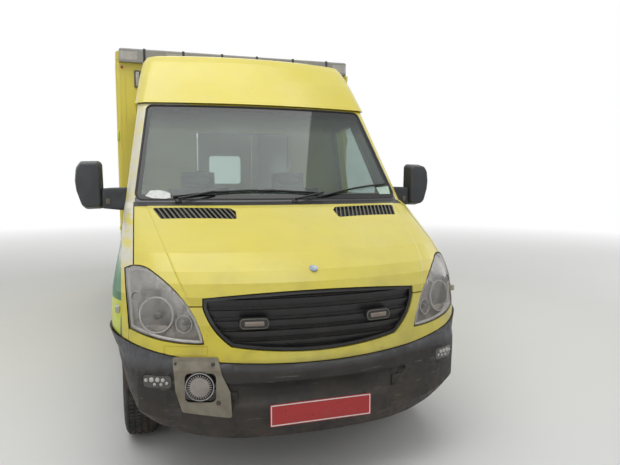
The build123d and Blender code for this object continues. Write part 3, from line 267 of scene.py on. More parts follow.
def screenGlass(name):  # tinted, with a shade band, a black border and a pale veil that is partly a dusty film and partly a painted sky reflection
    mix = Mix(name, IOR=1.45)
    height = mix.axis("Z")
    shade = mix.blend(mix.cloud(6, 6, 0.45, 0.8, 0, 0.5), (0.42, 0.51, 0.48), (0.34, 0.42, 0.40))
    shade = mix.blend(mix.ramp(height, *screen["band"], 0, 0.9), shade, (0.04, 0.075, 0.07))
    lean = mix.times(mix.calc("SUBTRACT", height, screen["sill"]), screen["lean"])
    past = mix.calc("SUBTRACT", mix.calc("ADD", mix.size(mix.axis("X")), lean), screen["half"])
    under = mix.calc("SUBTRACT", screen["sill"], height)
    over = mix.calc("SUBTRACT", height, screen["head"])
    border = mix.ramp(mix.calc("MAXIMUM", past, mix.calc("MAXIMUM", under, over)), *screen["border"])
    mix.feed("Base Color", mix.blend(border, shade, (0.010, 0.011, 0.011)))
    # painted reflection: where transmission drops, the pale base colour shows as a veil, partly dust on the
    # glass and partly standing in for the sky's reflection
    dustAndSkyVeil = mix.cloud(2.2, 7, 0.35, 0.7, 0.96, 0.90)
    mix.feed("Transmission Weight", mix.times(mix.calc("SUBTRACT", 1.0, border), dustAndSkyVeil))
    mix.gloss(4, 7, 0.015, 0.05, 0.4)
    return mix.mat


def hazedCover(name, colour):  # clear plastic gone milky in patches
    mix = Mix(name, Roughness=0.12, IOR=1.45,
              **{"Base Color": (*colour, 1), "Coat Weight": 1.0, "Coat Roughness": 0.06})
    haze = mix.times(mix.noise(7, 6), mix.ramp(mix.axis("Z"), 0.88, 1.04, 0.8, 1.6))
    mix.feed("Alpha", mix.ramp(haze, 0.35, 0.85, 0.08, 0.46))
    mix.bump(mix.noise(300, 2), 0.05)
    return mix.mat


def ribbedLens(name, colour, pitch):  # hazy moulded lens with upright ribs
    mix = Mix(name, **{"Coat Weight": 0.7, "Coat Roughness": 0.1})
    wave = {"Vector": mix.place, "Scale": 0.314 / pitch}
    ribs = mix.add("TexWave", wave, bands_direction="X").outputs["Fac"]
    shade = mix.blend(mix.cloud(25, 6, 0.35, 0.7, 0, 0.6), colour, dimmed(colour, 0.62))
    mix.feed("Base Color", mix.blend(mix.times(ribs, 0.35), shade, dimmed(colour, 0.45)))
    mix.gloss(12, 5, 0.15, 0.35)
    mix.bump(ribs, 0.5)
    return mix.mat


def seatCloth(name):  # dark woven cloth
    mix = Mix(name, Roughness=0.9, **{"Sheen Weight": 0.3})
    weave = mix.checks(420)
    shade = mix.blend(mix.cloud(8, 6, 0.4, 0.7, 0, 0.6), (0.045, 0.050, 0.060), (0.075, 0.078, 0.082))
    mix.feed("Base Color", mix.blend(mix.times(weave, 0.4), shade, (0.02, 0.022, 0.027)))
    mix.bump(weave, 0.3, 0.0006)
    return mix.mat


def bumperPlastic(name):  # brown-black moulding, paler bluish grey along its upper edge: partly bleached plastic, partly painted sky light on the top ledge
    mix = Mix(name, **{"Specular IOR Level": 0.4})
    height = mix.axis("Z")
    shade = mix.blend(mix.cloud(5, 7, 0.4, 0.75, 0, 0.8), (0.019, 0.017, 0.015), (0.040, 0.034, 0.028))
    # painted light: the paler grey band at the top edge is partly sun-bleached plastic and partly sky light
    # falling on the upward ledge
    bleachAndSkyLight = mix.ramp(mix.calc("ADD", height, mix.times(mix.noise(3), 0.05)), 0.665, 0.72, 0, 0.8)
    shade = mix.blend(bleachAndSkyLight, shade, (0.105, 0.108, 0.116))
    scuffs = mix.cloud(22, 5, 0.66, 0.72, 0, 0.6, stretch=(0.25, 1, 3.5))
    shade = mix.blend(scuffs, shade, (0.17, 0.16, 0.145))
    dirt = mix.times(mix.ramp(height, 0.30, 0.60, 0.42, 0), mix.cloud(9, 6, 0.35, 0.7))
    mix.feed("Base Color", mix.blend(dirt, shade, (0.115, 0.080, 0.052)))
    mix.gloss(30, 5, 0.42, 0.68)
    mix.bump(mix.noise(900, 2), 0.35)
    return mix.mat


def redPlate(name, node):  # red sheet with a pale edge, no lettering
    low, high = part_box(node)
    mix = Mix(name, **{"Coat Weight": 0.3})
    far = []
    for letter, one, two in (("X", low.x, high.x), ("Z", low.z, high.z)):
        away = mix.size(mix.calc("SUBTRACT", mix.axis(letter), (one + two) / 2))
        far.append(mix.calc("SUBTRACT", away, (two - one) / 2))
    edge = mix.calc("MAXIMUM", *far)
    rim = mix.times(mix.above(edge, -0.0085), mix.below(edge, -0.0035))
    red = mix.blend(mix.cloud(14, 6, 0.45, 0.75, 0, 0.5), (0.40, 0.011, 0.012), (0.28, 0.022, 0.020))
    mix.feed("Base Color", mix.blend(rim, red, (0.72, 0.70, 0.66)))
    mix.gloss(25, 5, 0.25, 0.45)
    mix.bump(rim, 0.4, 0.0008)
    return mix.mat


# colour, roughness, second colour, its patches per metre and share, grain, dent; then metal, low dirt, coat
wornLooks = dict(
    collarPlastic=((0.028, 0.028, 0.028), 0.55, (0.06, 0.056, 0.05), 5, 0.7, 900, 0.35, 0, 0.5),
    lampEdge=((0.50, 0.48, 0.45), 0.35, (0.30, 0.28, 0.25), 18, 0.6, 300, 0.1, 0.2),
    bumperLampGlass=((0.040, 0.035, 0.030), 0.16, (0.085, 0.075, 0.062), 24, 0.7, 300, 0.1, 0, 0, 0.8),
    badgeGrey=((0.30, 0.36, 0.45), 0.3, (0.50, 0.52, 0.54), 60, 0.6, 300, 0.1, 0.3),
    blackTrim=((0.012, 0.012, 0.013), 0.38, (0.03, 0.029, 0.027), 8, 0.6, 700, 0.2),
    sealRubber=((0.010, 0.010, 0.010), 0.65, (0.03, 0.029, 0.027), 9, 0.6, 800, 0.2),
    chassisBlack=((0.018, 0.018, 0.019), 0.5, (0.10, 0.06, 0.035), 6, 0.8, 300, 0.3, 0, 0.6),
    castIron=((0.075, 0.072, 0.070), 0.6, (0.12, 0.07, 0.04), 7, 0.7, 220, 0.5, 0.6, 0.4),
    bracketGrey=((0.235, 0.215, 0.165), 0.5, (0.125, 0.098, 0.062), 16, 0.75, 500, 0.2, 0, 0.35),
    discGrey=((0.30, 0.27, 0.25), 0.5, (0.20, 0.17, 0.14), 30, 0.6, 500, 0.2),
    brightSteel=((0.52, 0.52, 0.52), 0.34, (0.24, 0.20, 0.16), 14, 0.5, 350, 0.1, 0.9),
    rimPaint=((0.40, 0.41, 0.42), 0.4, (0.17, 0.13, 0.10), 12, 0.7, 300, 0.1, 0.5, 0.7),
    lightBarGrey=((0.27, 0.27, 0.265), 0.4, (0.19, 0.185, 0.175), 9, 0.6, 500, 0.1),
    cabPlastic=((0.055, 0.058, 0.062), 0.6, (0.085, 0.085, 0.085), 6, 0.5, 900, 0.3),
    cabinetWhite=((0.66, 0.68, 0.67), 0.3, (0.55, 0.55, 0.52), 4, 0.5, 120, 0.05),
    stepAluminium=((0.55, 0.56, 0.57), 0.35, (0.33, 0.31, 0.29), 11, 0.6, 260, 0.3, 1.0),
    paleSticker=((0.68, 0.69, 0.68), 0.4, (0.45, 0.46, 0.46), 40, 0.8, 500, 0.05),
    paleGreenSticker=((0.42, 0.58, 0.46), 0.4, (0.60, 0.66, 0.62), 60, 0.8, 500, 0.05),
    lampBowl=((0.25, 0.225, 0.195), 0.35, (0.165, 0.145, 0.12), 18, 0.7, 300, 0.1, 0.3),
    reflector=((0.115, 0.105, 0.095), 0.2, (0.05, 0.045, 0.04), 22, 0.7, 200, 0.1, 0.8),
    mirrorGlass=((0.75, 0.76, 0.77), 0.05, (0.65, 0.66, 0.67), 5, 0.3, 300, 0.02, 1.0),
    mirrorShell=((0.034, 0.037, 0.043), 0.45, (0.060, 0.062, 0.066), 9, 0.6, 900, 0.25),
    meshGrey=((0.045, 0.043, 0.038), 0.5, (0.09, 0.08, 0.06), 20, 0.7, 500, 0.1),
    deepBlack=((0.006, 0.006, 0.006), 0.7, (0.02, 0.018, 0.014), 12, 0.7, 500, 0.1),
    slatGrey=((0.115, 0.108, 0.082), 0.5, (0.08, 0.075, 0.055), 18, 0.7, 500, 0.1),
    tyreRubber=((0.022, 0.022, 0.022), 0.75, (0.075, 0.065, 0.052), 11, 0.8, 700, 0.3, 0, 0.35),
    redLens=((0.42, 0.008, 0.008), 0.18, (0.30, 0.012, 0.010), 12, 0.6, 300, 0.2, 0, 0, 0.6),
    amberLens=((0.70, 0.20, 0.010), 0.18, (0.5, 0.15, 0.02), 12, 0.6, 300, 0.2, 0, 0, 0.6),
    limeLens=((0.60, 0.68, 0.06), 0.2, (0.45, 0.50, 0.06), 30, 0.6, 300, 0.2, 0, 0, 0.6),
    blueLens=((0.01, 0.05, 0.42), 0.15, (0.02, 0.06, 0.30), 12, 0.6, 300, 0.2, 0, 0, 0.6))
finishes = {mat.name: mat for mat in (
    yellowPaint("yellowGloss"), yellowPaint("yellowLivery", livery=True),
    yellowPaint("yellowWing", livery=True, chalk=True), bumperPlastic("bumperPlastic"),
    ribbedLens("strobeLens", (0.24, 0.19, 0.145), 0.006), ribbedLens("hazyLens", (0.46, 0.45, 0.42), 0.008),
    clearGlass("sideGlass", (0.66, 0.74, 0.72), 0.03), screenGlass("screenGlass"), seatCloth("seatCloth"),
    hazedCover("lampLens", (0.50, 0.485, 0.455)), redPlate("frontPlateRed", "front_plate"),
    redPlate("rearPlateRed", "rear_plate"), *(worn(name, *settings) for name, settings in wornLooks.items()))}

nodeFinish = dict(
    yellowGloss="bonnet front_panel roof_fairing",
    yellowLivery="box_side_left box_side_right box_front box_rear box_roof side_door rear_door_left "
                 "rear_door_right cab_shell cab_door_left cab_door_right",
    yellowWing="front_wings",
    bumperPlastic="bumper",
    collarPlastic="cab_collar",
    chassisBlack="chassis_rails crossmembers fuel_tank inner_wings",
    castIron="engine front_axle rear_axle knuckle_left knuckle_right",
    bracketGrey="siren_bracket",
    cabPlastic="dashboard cab_seats box_floor",
    cabinetWhite="cabinets",
    lightBarGrey="light_bar",
    stepAluminium="rear_step",
    screenGlass="windscreen",
    sideGlass="cab_glass_left cab_glass_right side_door_glass rear_glass_left rear_glass_right box_window",
    lampLens="headlamps",
    hazyLens="light_bar_lenses",
    bumperLampGlass="bumper_lamps",
    blackTrim="grille grille_lamps cowl mirror_left mirror_right rear_lamps",
    rimPaint="front_rim_left front_rim_right rear_rims_left rear_rims_right",
    tyreRubber="front_tyre_left front_tyre_right rear_tyres_left rear_tyres_right",
    frontPlateRed="front_plate",
    rearPlateRed="rear_plate")
for look, members in nodeFinish.items():
    for member in members.split():
        nodes[member].data.materials.clear()
        nodes[member].data.materials.append(finishes[look])
print("finishes given to the frame's nodes")


# modelling helpers, on one piece at a time
def only(piece):  # this piece alone is selected
    if bpy.context.object and bpy.context.object.mode == "EDIT":
        bpy.ops.object.mode_set(mode="OBJECT")
    unselect()
    piece.select_set(True)
    bpy.context.view_layer.objects.active = piece


def unselect():
    bpy.ops.object.select_all(action="DESELECT")


def edit(piece, mode="FACE"):
    only(piece)
    bpy.ops.object.mode_set(mode="EDIT")
    bpy.ops.mesh.select_mode(type=mode)
    bpy.ops.mesh.select_all(action="SELECT")


def leave():
    bpy.ops.object.mode_set(mode="OBJECT")


def settle():  # place, turn and scale go into the mesh
    bpy.ops.object.transform_apply(location=True, rotation=True, scale=True)


def everything(action="SELECT"):
    bpy.ops.mesh.select_all(action=action)


def extrude(step):
    bpy.ops.mesh.extrude_region_move(TRANSFORM_OT_translate={"value": step})


def pick(piece, test):  # faces chosen by their middle and normal, edit mode stays on
    edit(piece)
    everything("DESELECT")
    work = bmesh.from_edit_mesh(piece.data)
    for face in work.faces:
        face.select_set(bool(test(face.calc_center_median(), face.normal)))
    bmesh.update_edit_mesh(piece.data)


def facing(way, limit):  # a test for pick
    return lambda middle, normal: normal.dot(Vector(way)) > limit


def pushed(piece, way, limit, border, step, walls=True):  # chosen faces, inside a border, move by a step
    pick(piece, facing(way, limit))
    bpy.ops.mesh.inset(thickness=border)
    if walls:
        extrude(step)
    else:
        bpy.ops.transform.translate(value=step)
    leave()


def modify(piece, kind, **settings):
    only(piece)
    step = piece.modifiers.new(kind, kind)
    for key, value in settings.items():
        setattr(step, key, value)
    bpy.ops.object.modifier_apply(modifier=step.name)
    return piece


def bevel(piece, width, segments=2, angle=30):
    return modify(piece, "BEVEL", width=width / 1000, segments=segments, limit_method="ANGLE",
                  angle_limit=math.radians(angle))


def block(low, high, edge=0, segments=2):  # box between two corners in millimetres, edges rounded
    unselect()
    one, two = at(*low), at(*high)
    bpy.ops.mesh.primitive_cube_add(size=1, location=(one + two) / 2, scale=two - one)
    settle()
    piece = bpy.context.object
    return bevel(piece, edge, segments) if edge else piece


def dot(place):  # a single vertex, edit mode stays on
    unselect()
    bpy.ops.mesh.primitive_plane_add(size=0.001, location=place)
    piece = bpy.context.object
    settle()
    edit(piece, "VERT")
    bpy.ops.mesh.merge(type="CENTER")
    return piece


def strand(points):  # a line of edges through points in millimetres
    piece = dot(at(*points[0]))
    for one, two in zip(points, points[1:]):
        extrude(at(*two) - at(*one))
    everything()
    return piece


def tube(piece, thick, sides=3):  # edges of a mesh become a round bar
    only(piece)
    bpy.ops.object.convert(target="CURVE")
    bpy.context.object.data.bevel_depth = thick / 1000
    bpy.context.object.data.bevel_resolution = sides
    bpy.context.object.data.use_fill_caps = True
    bpy.ops.object.convert(target="MESH")
    return bpy.context.object


def rail(points, thick, sides=3):  # round bar along points
    piece = strand(points)
    leave()
    return tube(piece, thick, sides)


def plate(points, move, edge=0, segments=2):  # plate over an outline, pushed out by a step in millimetres
    piece = strand(points)
    bpy.ops.mesh.edge_face_add()
    everything()
    extrude(tuple(v / 1000 for v in move))
    everything()
    bpy.ops.mesh.normals_make_consistent(inside=False)
    leave()
    return bevel(piece, edge, segments) if edge else piece


def turned(profile, centre, axis, steps=40):  # (radius, along) points spun round an axis
    piece = dot((0, 0, 0))
    bpy.ops.transform.translate(value=(profile[0][0] / 1000, 0, profile[0][1] / 1000))
    for one, two in zip(profile, profile[1:]):
        step = ((two[0] - one[0]) / 1000, 0, (two[1] - one[1]) / 1000)
        extrude(step)
    everything()
    bpy.ops.mesh.spin(steps=steps, angle=2 * math.pi, center=(0, 0, 0), axis=(0, 0, 1))
    everything()
    bpy.ops.mesh.remove_doubles(threshold=0.00002)
    bpy.ops.mesh.normals_make_consistent(inside=False)
    leave()
    piece.rotation_euler = Vector(axis).to_track_quat("Z", "Y").to_euler()
    piece.location = at(*centre)
    only(piece)
    settle()
    return piece


def copyOf(piece):
    again = piece.copy()
    again.data = piece.data.copy()
    bpy.context.scene.collection.objects.link(again)
    return again


def flipped(piece):  # to the other side
    edit(piece)
    bpy.ops.transform.resize(value=(-1, 1, 1), center_override=(0, 0, 0))
    bpy.ops.mesh.flip_normals()
    leave()
    return piece


def moved(piece, step):
    again = copyOf(piece)
    edit(again)
    bpy.ops.transform.translate(value=tuple(v / 1000 for v in step))
    leave()
    return again


def joined(pieces):
    only(pieces[0])
    for piece in pieces:
        piece.select_set(True)
    if len(pieces) > 1:
        bpy.ops.object.join()
    return bpy.context.object


def both(piece):  # a piece and its mirror image in one
    return joined([piece, flipped(copyOf(piece))])


def skinOf(node, test):  # the chosen faces of a frame node, as a new mesh
    piece = bpy.data.objects.new("skin", nodes[node].data.copy())
    bpy.context.scene.collection.objects.link(piece)
    edit(piece, "VERT")
    bpy.ops.mesh.remove_doubles(threshold=0.00001)
    pick(piece, lambda middle, normal: not test(middle, normal))
    bpy.ops.mesh.delete(type="FACE")
    leave()
    return piece


def rimOf(piece):  # only the border edges of a surface
    edit(piece)
    bpy.ops.mesh.dissolve_limited(angle_limit=math.radians(1))
    everything()
    bpy.ops.mesh.region_to_loop()
    everything("INVERT")
    bpy.ops.mesh.delete(type="EDGE")
    everything()
    bpy.ops.mesh.remove_doubles(threshold=0.002)
    leave()
    return piece


def hitOn(node, start, way=(0, 1, 0)):  # where a ray meets a node's skin, and the slope there
    hit, place, slope = nodes[node].ray_cast(at(*start), Vector(way))[:3]
    if not hit:
        raise ValueError(f"nothing of {node} from {start}")
    return place, slope


def touch(node, x, z, out=0.0):  # point of a node's skin seen from the front, in millimetres
    place, slope = hitOn(node, (x, -3000, z))
    return inMillimetres(place + slope * out / 1000)


def done(piece, name, look, body="vehicle", smooth=35):
    only(piece)
    piece.name = name
    piece.data.name = name
    settle()
    if smooth:
        bpy.ops.object.shade_smooth_by_angle(angle=math.radians(smooth))
    piece.data.materials.clear()
    piece.data.materials.append(finishes[look])
    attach(piece, body)
    return piece


# headlamps: clear cover, the housing behind it with a pale edge, faceted reflectors with a bulb shield
headlamp = dict(
    cover=3, edge=8, edgeSink=-0.011, edgeShrink=(0.962, 1, 0.95), turn=(-0.44, -0.88, 0.10),
    facing=Vector((-0.53, -0.81, 0.25)), rimSteps=48,
    bowl=[(0.96, 0.02), (0.95, 0.0), (0.86, -0.12), (0.66, -0.25), (0.40, -0.31), (0.27, -0.32),
        (0.25, -0.12), (0.20, -0.06), (0.0, -0.03)],
    rim=[(1.05, -0.04), (1.06, 0.04), (1.02, 0.07), (0.97, 0.06), (0.95, 0.0)],
    dishes=[(-766, -790, 912, 84, 32), (-642, -856, 874, 40, 20), (-858, -718, 992, 25, 16)])


def lampFront(middle, normal):
    return normal.dot(headlamp["facing"]) > 0.7 and middle.x < 0


def lampBack(middle, normal):
    return middle.x < 0 and not lampFront(middle, normal)


def inLamp(shares, x, y, z, radius, facets):  # a profile in shares of its radius, along the lamp's own axis
    return turned([(radius * a, radius * b) for a, b in shares], (x, y, z), headlamp["turn"], facets)


cover = modify(skinOf("headlamps", lampFront), "SOLIDIFY", thickness=headlamp["cover"] / 1000, offset=-1)
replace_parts(done(both(cover), "headlampCovers", "lampLens"), "headlamps")
done(both(skinOf("headlamps", lampBack)), "headlampHousings", "lampBowl")
edge = skinOf("headlamps", lampFront)
edit(edge)
bpy.ops.transform.shrink_fatten(value=headlamp["edgeSink"])
bpy.ops.transform.resize(value=headlamp["edgeShrink"])
leave()
done(both(tube(rimOf(edge), headlamp["edge"])), "headlampEdges", "lampEdge")
dishes = joined([inLamp(headlamp["bowl"], *dish) for dish in headlamp["dishes"]])
done(both(dishes), "headlampReflectors", "reflector", smooth=8)
rims = joined([inLamp(headlamp["rim"], *dish[:4], headlamp["rimSteps"]) for dish in headlamp["dishes"]])
done(both(rims), "headlampRims", "lampEdge")
print("headlamps made")

# bumper: the frame's skin, drawn in and lifted at its lower corners
corner = dict(
    start=0.860, foot=0.30, soft=0.62, heights=(0.36, 0.45, 0.53, 0.60, 0.66, 0.73),
    widths=(0.42, 0.50, 0.58, 0.66, 0.74, 0.80, 0.86, 0.92),
    shares=[(0.30, 0.85), (0.45, 0.60), (0.60, 0.45), (0.70, 0.28), (0.79, 0.0)],
    lifts=[(0.40, 0), (0.55, 0.014), (0.68, 0.042), (0.78, 0.080), (0.87, 0.130), (1.01, 0.180)])


def between(pairs, place):  # straight lines through (place, value) pairs, level past both ends
    if place <= pairs[0][0]:
        return pairs[0][1]
    for (low, one), (high, two) in zip(pairs, pairs[1:]):
        if place <= high:
            return one + (two - one) * (place - low) / (high - low)
    return pairs[-1][1]


shell = skinOf("bumper", lambda middle, normal: True)
cuts = [((0, 0, height), (0, 0, 1)) for height in corner["heights"]]
cuts += [((side, 0, 0), (1, 0, 0)) for width in corner["widths"] for side in (-width, width)]
for place, way in cuts:
    edit(shell, "VERT")
    bpy.ops.mesh.bisect(plane_co=place, plane_no=way)
    leave()
for vertex in shell.data.vertices:
    wide = abs(vertex.co.x)
    share = max(0, (corner["soft"] - vertex.co.z) / (corner["soft"] - corner["foot"])) ** 2
    lift = between(corner["lifts"], wide) * share
    if wide > corner["start"]:
        drawn = (wide - corner["start"]) * between(corner["shares"], vertex.co.z)
        vertex.co.x -= math.copysign(drawn, vertex.co.x)
    vertex.co.z += lift
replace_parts(done(shell, "bumperShell", "bumperPlastic", smooth=30), "bumper")
print("bumper made")

# grille: wire mesh behind the louvres; its sides and edges bound the mesh, noseRows are height, front, radius
grille = dict(
    cells=(100, 28), width=1096, low=722, high=1016, inset=31, wire=2.2, clear=10,
    sides=[(858, 412, 765, 0.95), (950, 500, 858, 0.43), (math.inf, 540, 0, 0)],
    edges=[(727, 38, 425), (1020, -26, 553)],
    noseRows=[(300, -950, 1985), (700, -985, 1985), (870, -976, 1985), (1000, -952, 1985),
        (1060, -918, 2000), (1112, -868, 2050), (1190, -735, 2250), (1270, -565, 2450), (1335, -420, 2600),
        (1395, -285, 2700), (1428, -165, 2800)])


def noseAt(x, z):  # how far forward the nose stands at a place in the front view
    for low, high in zip(grille["noseRows"], grille["noseRows"][1:]):
        if low[0] <= z <= high[0]:
            share = (z - low[0]) / (high[0] - low[0])
            front, arc = [a + (b - a) * share for a, b in zip(low[1:], high[1:])]
            return front + arc - math.sqrt(arc**2 - x**2)


def inGrille(x, z):
    half = next(base + (z - start) * slope for top, base, start, slope in grille["sides"] if z <= top)
    low, high = [level + rise * (x / reach) ** 2 for level, rise, reach in grille["edges"]]
    return abs(x) < half and low + grille["clear"] < z < high - grille["clear"]


unselect()
bpy.ops.mesh.primitive_grid_add(
    x_subdivisions=grille["cells"][0], y_subdivisions=grille["cells"][1], size=1,
    location=at(0, -900, (grille["low"] + grille["high"]) / 2), rotation=(math.radians(90), 0, 0))
wire = bpy.context.object
wire.scale = (grille["width"] / 1000, (grille["high"] - grille["low"]) / 1000, 1)
settle()
pick(wire, lambda middle, normal: not inGrille(middle.x * 1000, middle.z * 1000))
bpy.ops.mesh.delete(type="FACE")
leave()
for vertex in wire.data.vertices:
    vertex.co.y = (noseAt(vertex.co.x * 1000, vertex.co.z * 1000) + grille["inset"]) / 1000 + frontAxle
modify(wire, "WIREFRAME", thickness=grille["wire"] / 1000)
done(wire, "grilleMesh", "meshGrey", smooth=0)
print("grille mesh made")

# bonnet vents: dark pockets, the insert's dark plastic deepened to near-black as painted shade in the
# openings, and weathered slats over the pressed ones
vent = dict(
    corners=[(768, -172), (325, -278), (300, -315), (308, -402), (722, -311)], lift=0.0005, slack=-1500,
    low=1.30, high=1.41, deep=2, proud=-8, steep=0.6)


def inVent(middle):
    x, y = abs(middle.x) * 1000, (middle.y - frontAxle) * 1000
    corners = vent["corners"]
    for (ax, ay), (bx, by) in zip(corners, corners[1:] + corners[:1]):
        if (bx - ax) * (y - ay) - (by - ay) * (x - ax) < vent["slack"]:
            return False
    return vent["low"] < middle.z < vent["high"]


def ventDepth(middle):
    return (middle.y - frontAxle) * 1000 - noseAt(middle.x * 1000, middle.z * 1000)


def ventSkin(test, name, look):
    piece = skinOf("bonnet", lambda middle, normal: inVent(middle) and test(ventDepth(middle), normal.z))
    edit(piece)
    bpy.ops.transform.shrink_fatten(value=vent["lift"])
    leave()
    return done(piece, name, look, body="bonnet", smooth=0)


# painted shade: the pocket floors and walls are painted near-black for the shade inside the vent openings
ventSkin(lambda depth, rise: depth > vent["deep"] or rise < vent["steep"], "ventPocketsPaintedShade", "deepBlack")
ventSkin(lambda depth, rise: vent["proud"] < depth <= vent["deep"] and rise >= vent["steep"],
         "ventSlats", "slatGrey")
print("bonnet vents made")

# wipers: spindle, cranked arm, sprung blade and its rubber; a sweep is a pivot, the arm's end and the blade
wiper = dict(
    arm=6.5, spine=4.5, rubber=3.0, clip=3.5, lift=15, rubberLift=5, clipLift=19, armLift=24,
    cap=[(20, -22), (20, 8), (15, 15), (0, 17)], capTurn=(0, -0.45, 0.9),
    sweeps=[((-612, -96, 1436), (-391, 1478),
        [(-640, 1452), (-540, 1464), (-391, 1479), (-181, 1489), (16, 1486), (269, 1471)]),
        ((96, -172, 1430), (300, 1468), [(262, 1444), (400, 1474), (512, 1495), (660, 1515), (812, 1530)])])


def onScreen(places, lift):
    return [touch("windscreen", x, z, lift) for x, z in places]


rubbers = []
arms = []
for (x, y, z), end, blade in wiper["sweeps"]:
    arms.append(rail(onScreen(blade, wiper["lift"]), wiper["spine"]))
    rubbers.append(rail(onScreen(blade, wiper["rubberLift"]), wiper["rubber"]))
    for place in blade[1:-1:2]:
        clip = onScreen([place], wiper["rubberLift"]) + onScreen([place], wiper["clipLift"])
        arms.append(rail(clip, wiper["clip"]))
    hold = onScreen([end], wiper["armLift"])[0]
    bend = ((x * 3 + hold[0]) / 4, (y * 3 + hold[1]) / 4 - 16, (z * 3 + hold[2]) / 4 + 10)
    arms.append(rail([(x, y - 14, z + 16), bend, hold], wiper["arm"]))
    arms.append(turned(wiper["cap"], (x, y - 6, z - 6), wiper["capTurn"], 24))
done(joined(arms), "wiperArms", "blackTrim")
done(joined(rubbers), "wiperRubbers", "sealRubber")
print("wipers made")

# blank stickers on the screen's lower corners
stickers = dict(
    lift=0.6, step=(0, -0.5, 0.4), tinted=[(729, 1511), (839, 1520), (832, 1465), (740, 1466)],
    plain=[(-803, 1464), (-772, 1496), (-726, 1499), (-684, 1492), (-657, 1479), (-655, 1452), (-690, 1447),
        (-760, 1450)])
for name, look in (("plain", "paleSticker"), ("tinted", "paleGreenSticker")):
    patch = plate(onScreen(stickers[name], stickers["lift"]), stickers["step"])
    done(patch, name + "Sticker", look, smooth=0)

# rubber seals round every pane: its body, the way it faces and the seal's thickness
seals = dict(
    windscreen=("vehicle", (0, -1, 0), 8), cab_glass_left=("cab_door_left", (1, 0, 0), 6),
    cab_glass_right=("cab_door_right", (-1, 0, 0), 6), side_door_glass=("side_door", (1, 0, 0), 7),
    box_window=("vehicle", (-1, 0, 0), 7), rear_glass_left=("rear_door_left", (0, 1, 0), 7),
    rear_glass_right=("rear_door_right", (0, 1, 0), 7))
for node, (body, way, thick) in seals.items():
    ring = rimOf(skinOf(node, facing(way, 0.5)))
    done(tube(ring, thick, 2), node + "Seal", "sealRubber", body=body)
print("seals made")

# siren in its bracket: dark cup, wire ring and a toothed disc, with the bracket's bolts
siren = dict(
    centre=(-578, -924, 585), axis=(-0.292, -0.956, 0), steps=48, teeth=30, tooth=2.6, proud=11,
    reach=(43, 58), cup=[(0, 0.8), (64, 0.8), (67, 4), (70, 4), (70, -30)],
    ring=[(63, 5), (65, 8), (68, 8), (68, 4), (63, 4), (63, 5)],
    disc=[(0, 19), (20, 18.5), (38, 16), (46, 12), (46, 4), (30, 2), (0, 2)],
    bolts=[(-686, 691, 5), (-516, 688, 8), (-494, 503, 10)])
cup, ring, disc = [turned(siren[part], siren["centre"], siren["axis"], siren["steps"])
                   for part in ("cup", "ring", "disc")]
done(cup, "sirenCup", "deepBlack")
done(ring, "sirenRing", "brightSteel")
parts = [disc]
(x, y, z), (ax, ay, az) = siren["centre"], siren["axis"]
for i in range(siren["teeth"]):
    turn = 2 * math.pi * i / siren["teeth"]
    ends = []
    for reach in siren["reach"]:
        side = reach * math.cos(turn)
        ends.append((x + siren["proud"] * ax - side * ay, y + siren["proud"] * ay + side * ax,
                     z + reach * math.sin(turn)))
    parts.append(rail(ends, siren["tooth"], 1))
done(joined(parts), "sirenDisc", "discGrey", smooth=25)
bolts = []
for x, z, r in siren["bolts"]:
    head = [(r + 3, 0), (r + 3, 1.5), (r, 2), (r, 5.5), (r - 1.5, 6.5), (0, 6.5)]
    bolts.append(turned(head, touch("siren_bracket", x, z), (0, -1, 0), 6))
done(joined(bolts), "bracketBolts", "castIron", smooth=20)
print("siren made")

# strobes in the grille: pale surround and ribbed bar on the dark case
strobe = dict(
    centre=(321, 876.5), half=(66, 22), bar=(46, 11), ring=2.5, ringLift=1, barLift=-2, barStep=(0, -7, 0),
    barEdge=2.5, corners=[(-1, -1), (1, -1), (1, 1), (-1, 1)],
    loop=[(-1, 0), (-0.93, 0.75), (-0.75, 1), (0.75, 1), (0.93, 0.75), (1, 0), (0.93, -0.75), (0.75, -1),
        (-0.75, -1), (-0.93, -0.75), (-1, 0)])


def onStrobe(shares, half, lift):
    (x, z), (wide, tall) = strobe["centre"], half
    return [touch("grille_lamps", x + a * wide, z + b * tall, lift) for a, b in shares]


ring = rail(onStrobe(strobe["loop"], strobe["half"], strobe["ringLift"]), strobe["ring"], 2)
done(both(ring), "strobeRings", "slatGrey")
outline = onStrobe(strobe["corners"], strobe["bar"], strobe["barLift"])
done(both(plate(outline, strobe["barStep"], strobe["barEdge"], 3)), "strobeBars", "strobeLens")

# facets in the bumper lamps: their places and radius
facet = dict(
    turn=(-0.3, -0.95, 0), steps=7,
    places=[(-822, 606, 10), (-796, 611, 13), (-769, 612, 12), (-745, 611, 11), (-783, 589, 8),
        (-754, 590, 8), (-728, 596, 8)])
facets = []
for x, z, r in facet["places"]:
    dome = [(r, -1), (r * 0.9, r * 0.35), (r * 0.4, r * 0.5), (0, r * 0.52)]
    facets.append(turned(dome, touch("bumper_lamps", x, z), facet["turn"], facet["steps"]))
done(both(joined(facets)), "bumperLampFacets", "lampEdge", smooth=10)

# plain disc badge on the bonnet's tip
badge = dict(x=0, z=1115, shape=[(22, -3), (22, 4), (20, 5.5), (18, 4.5), (0, 5)])
place, slope = hitOn("bonnet", (badge["x"], -3000, badge["z"]))
disc = turned(badge["shape"], (badge["x"], inMillimetres(place)[1], badge["z"]), slope, 32)
done(disc, "bonnetBadge", "badgeGrey", body="bonnet")

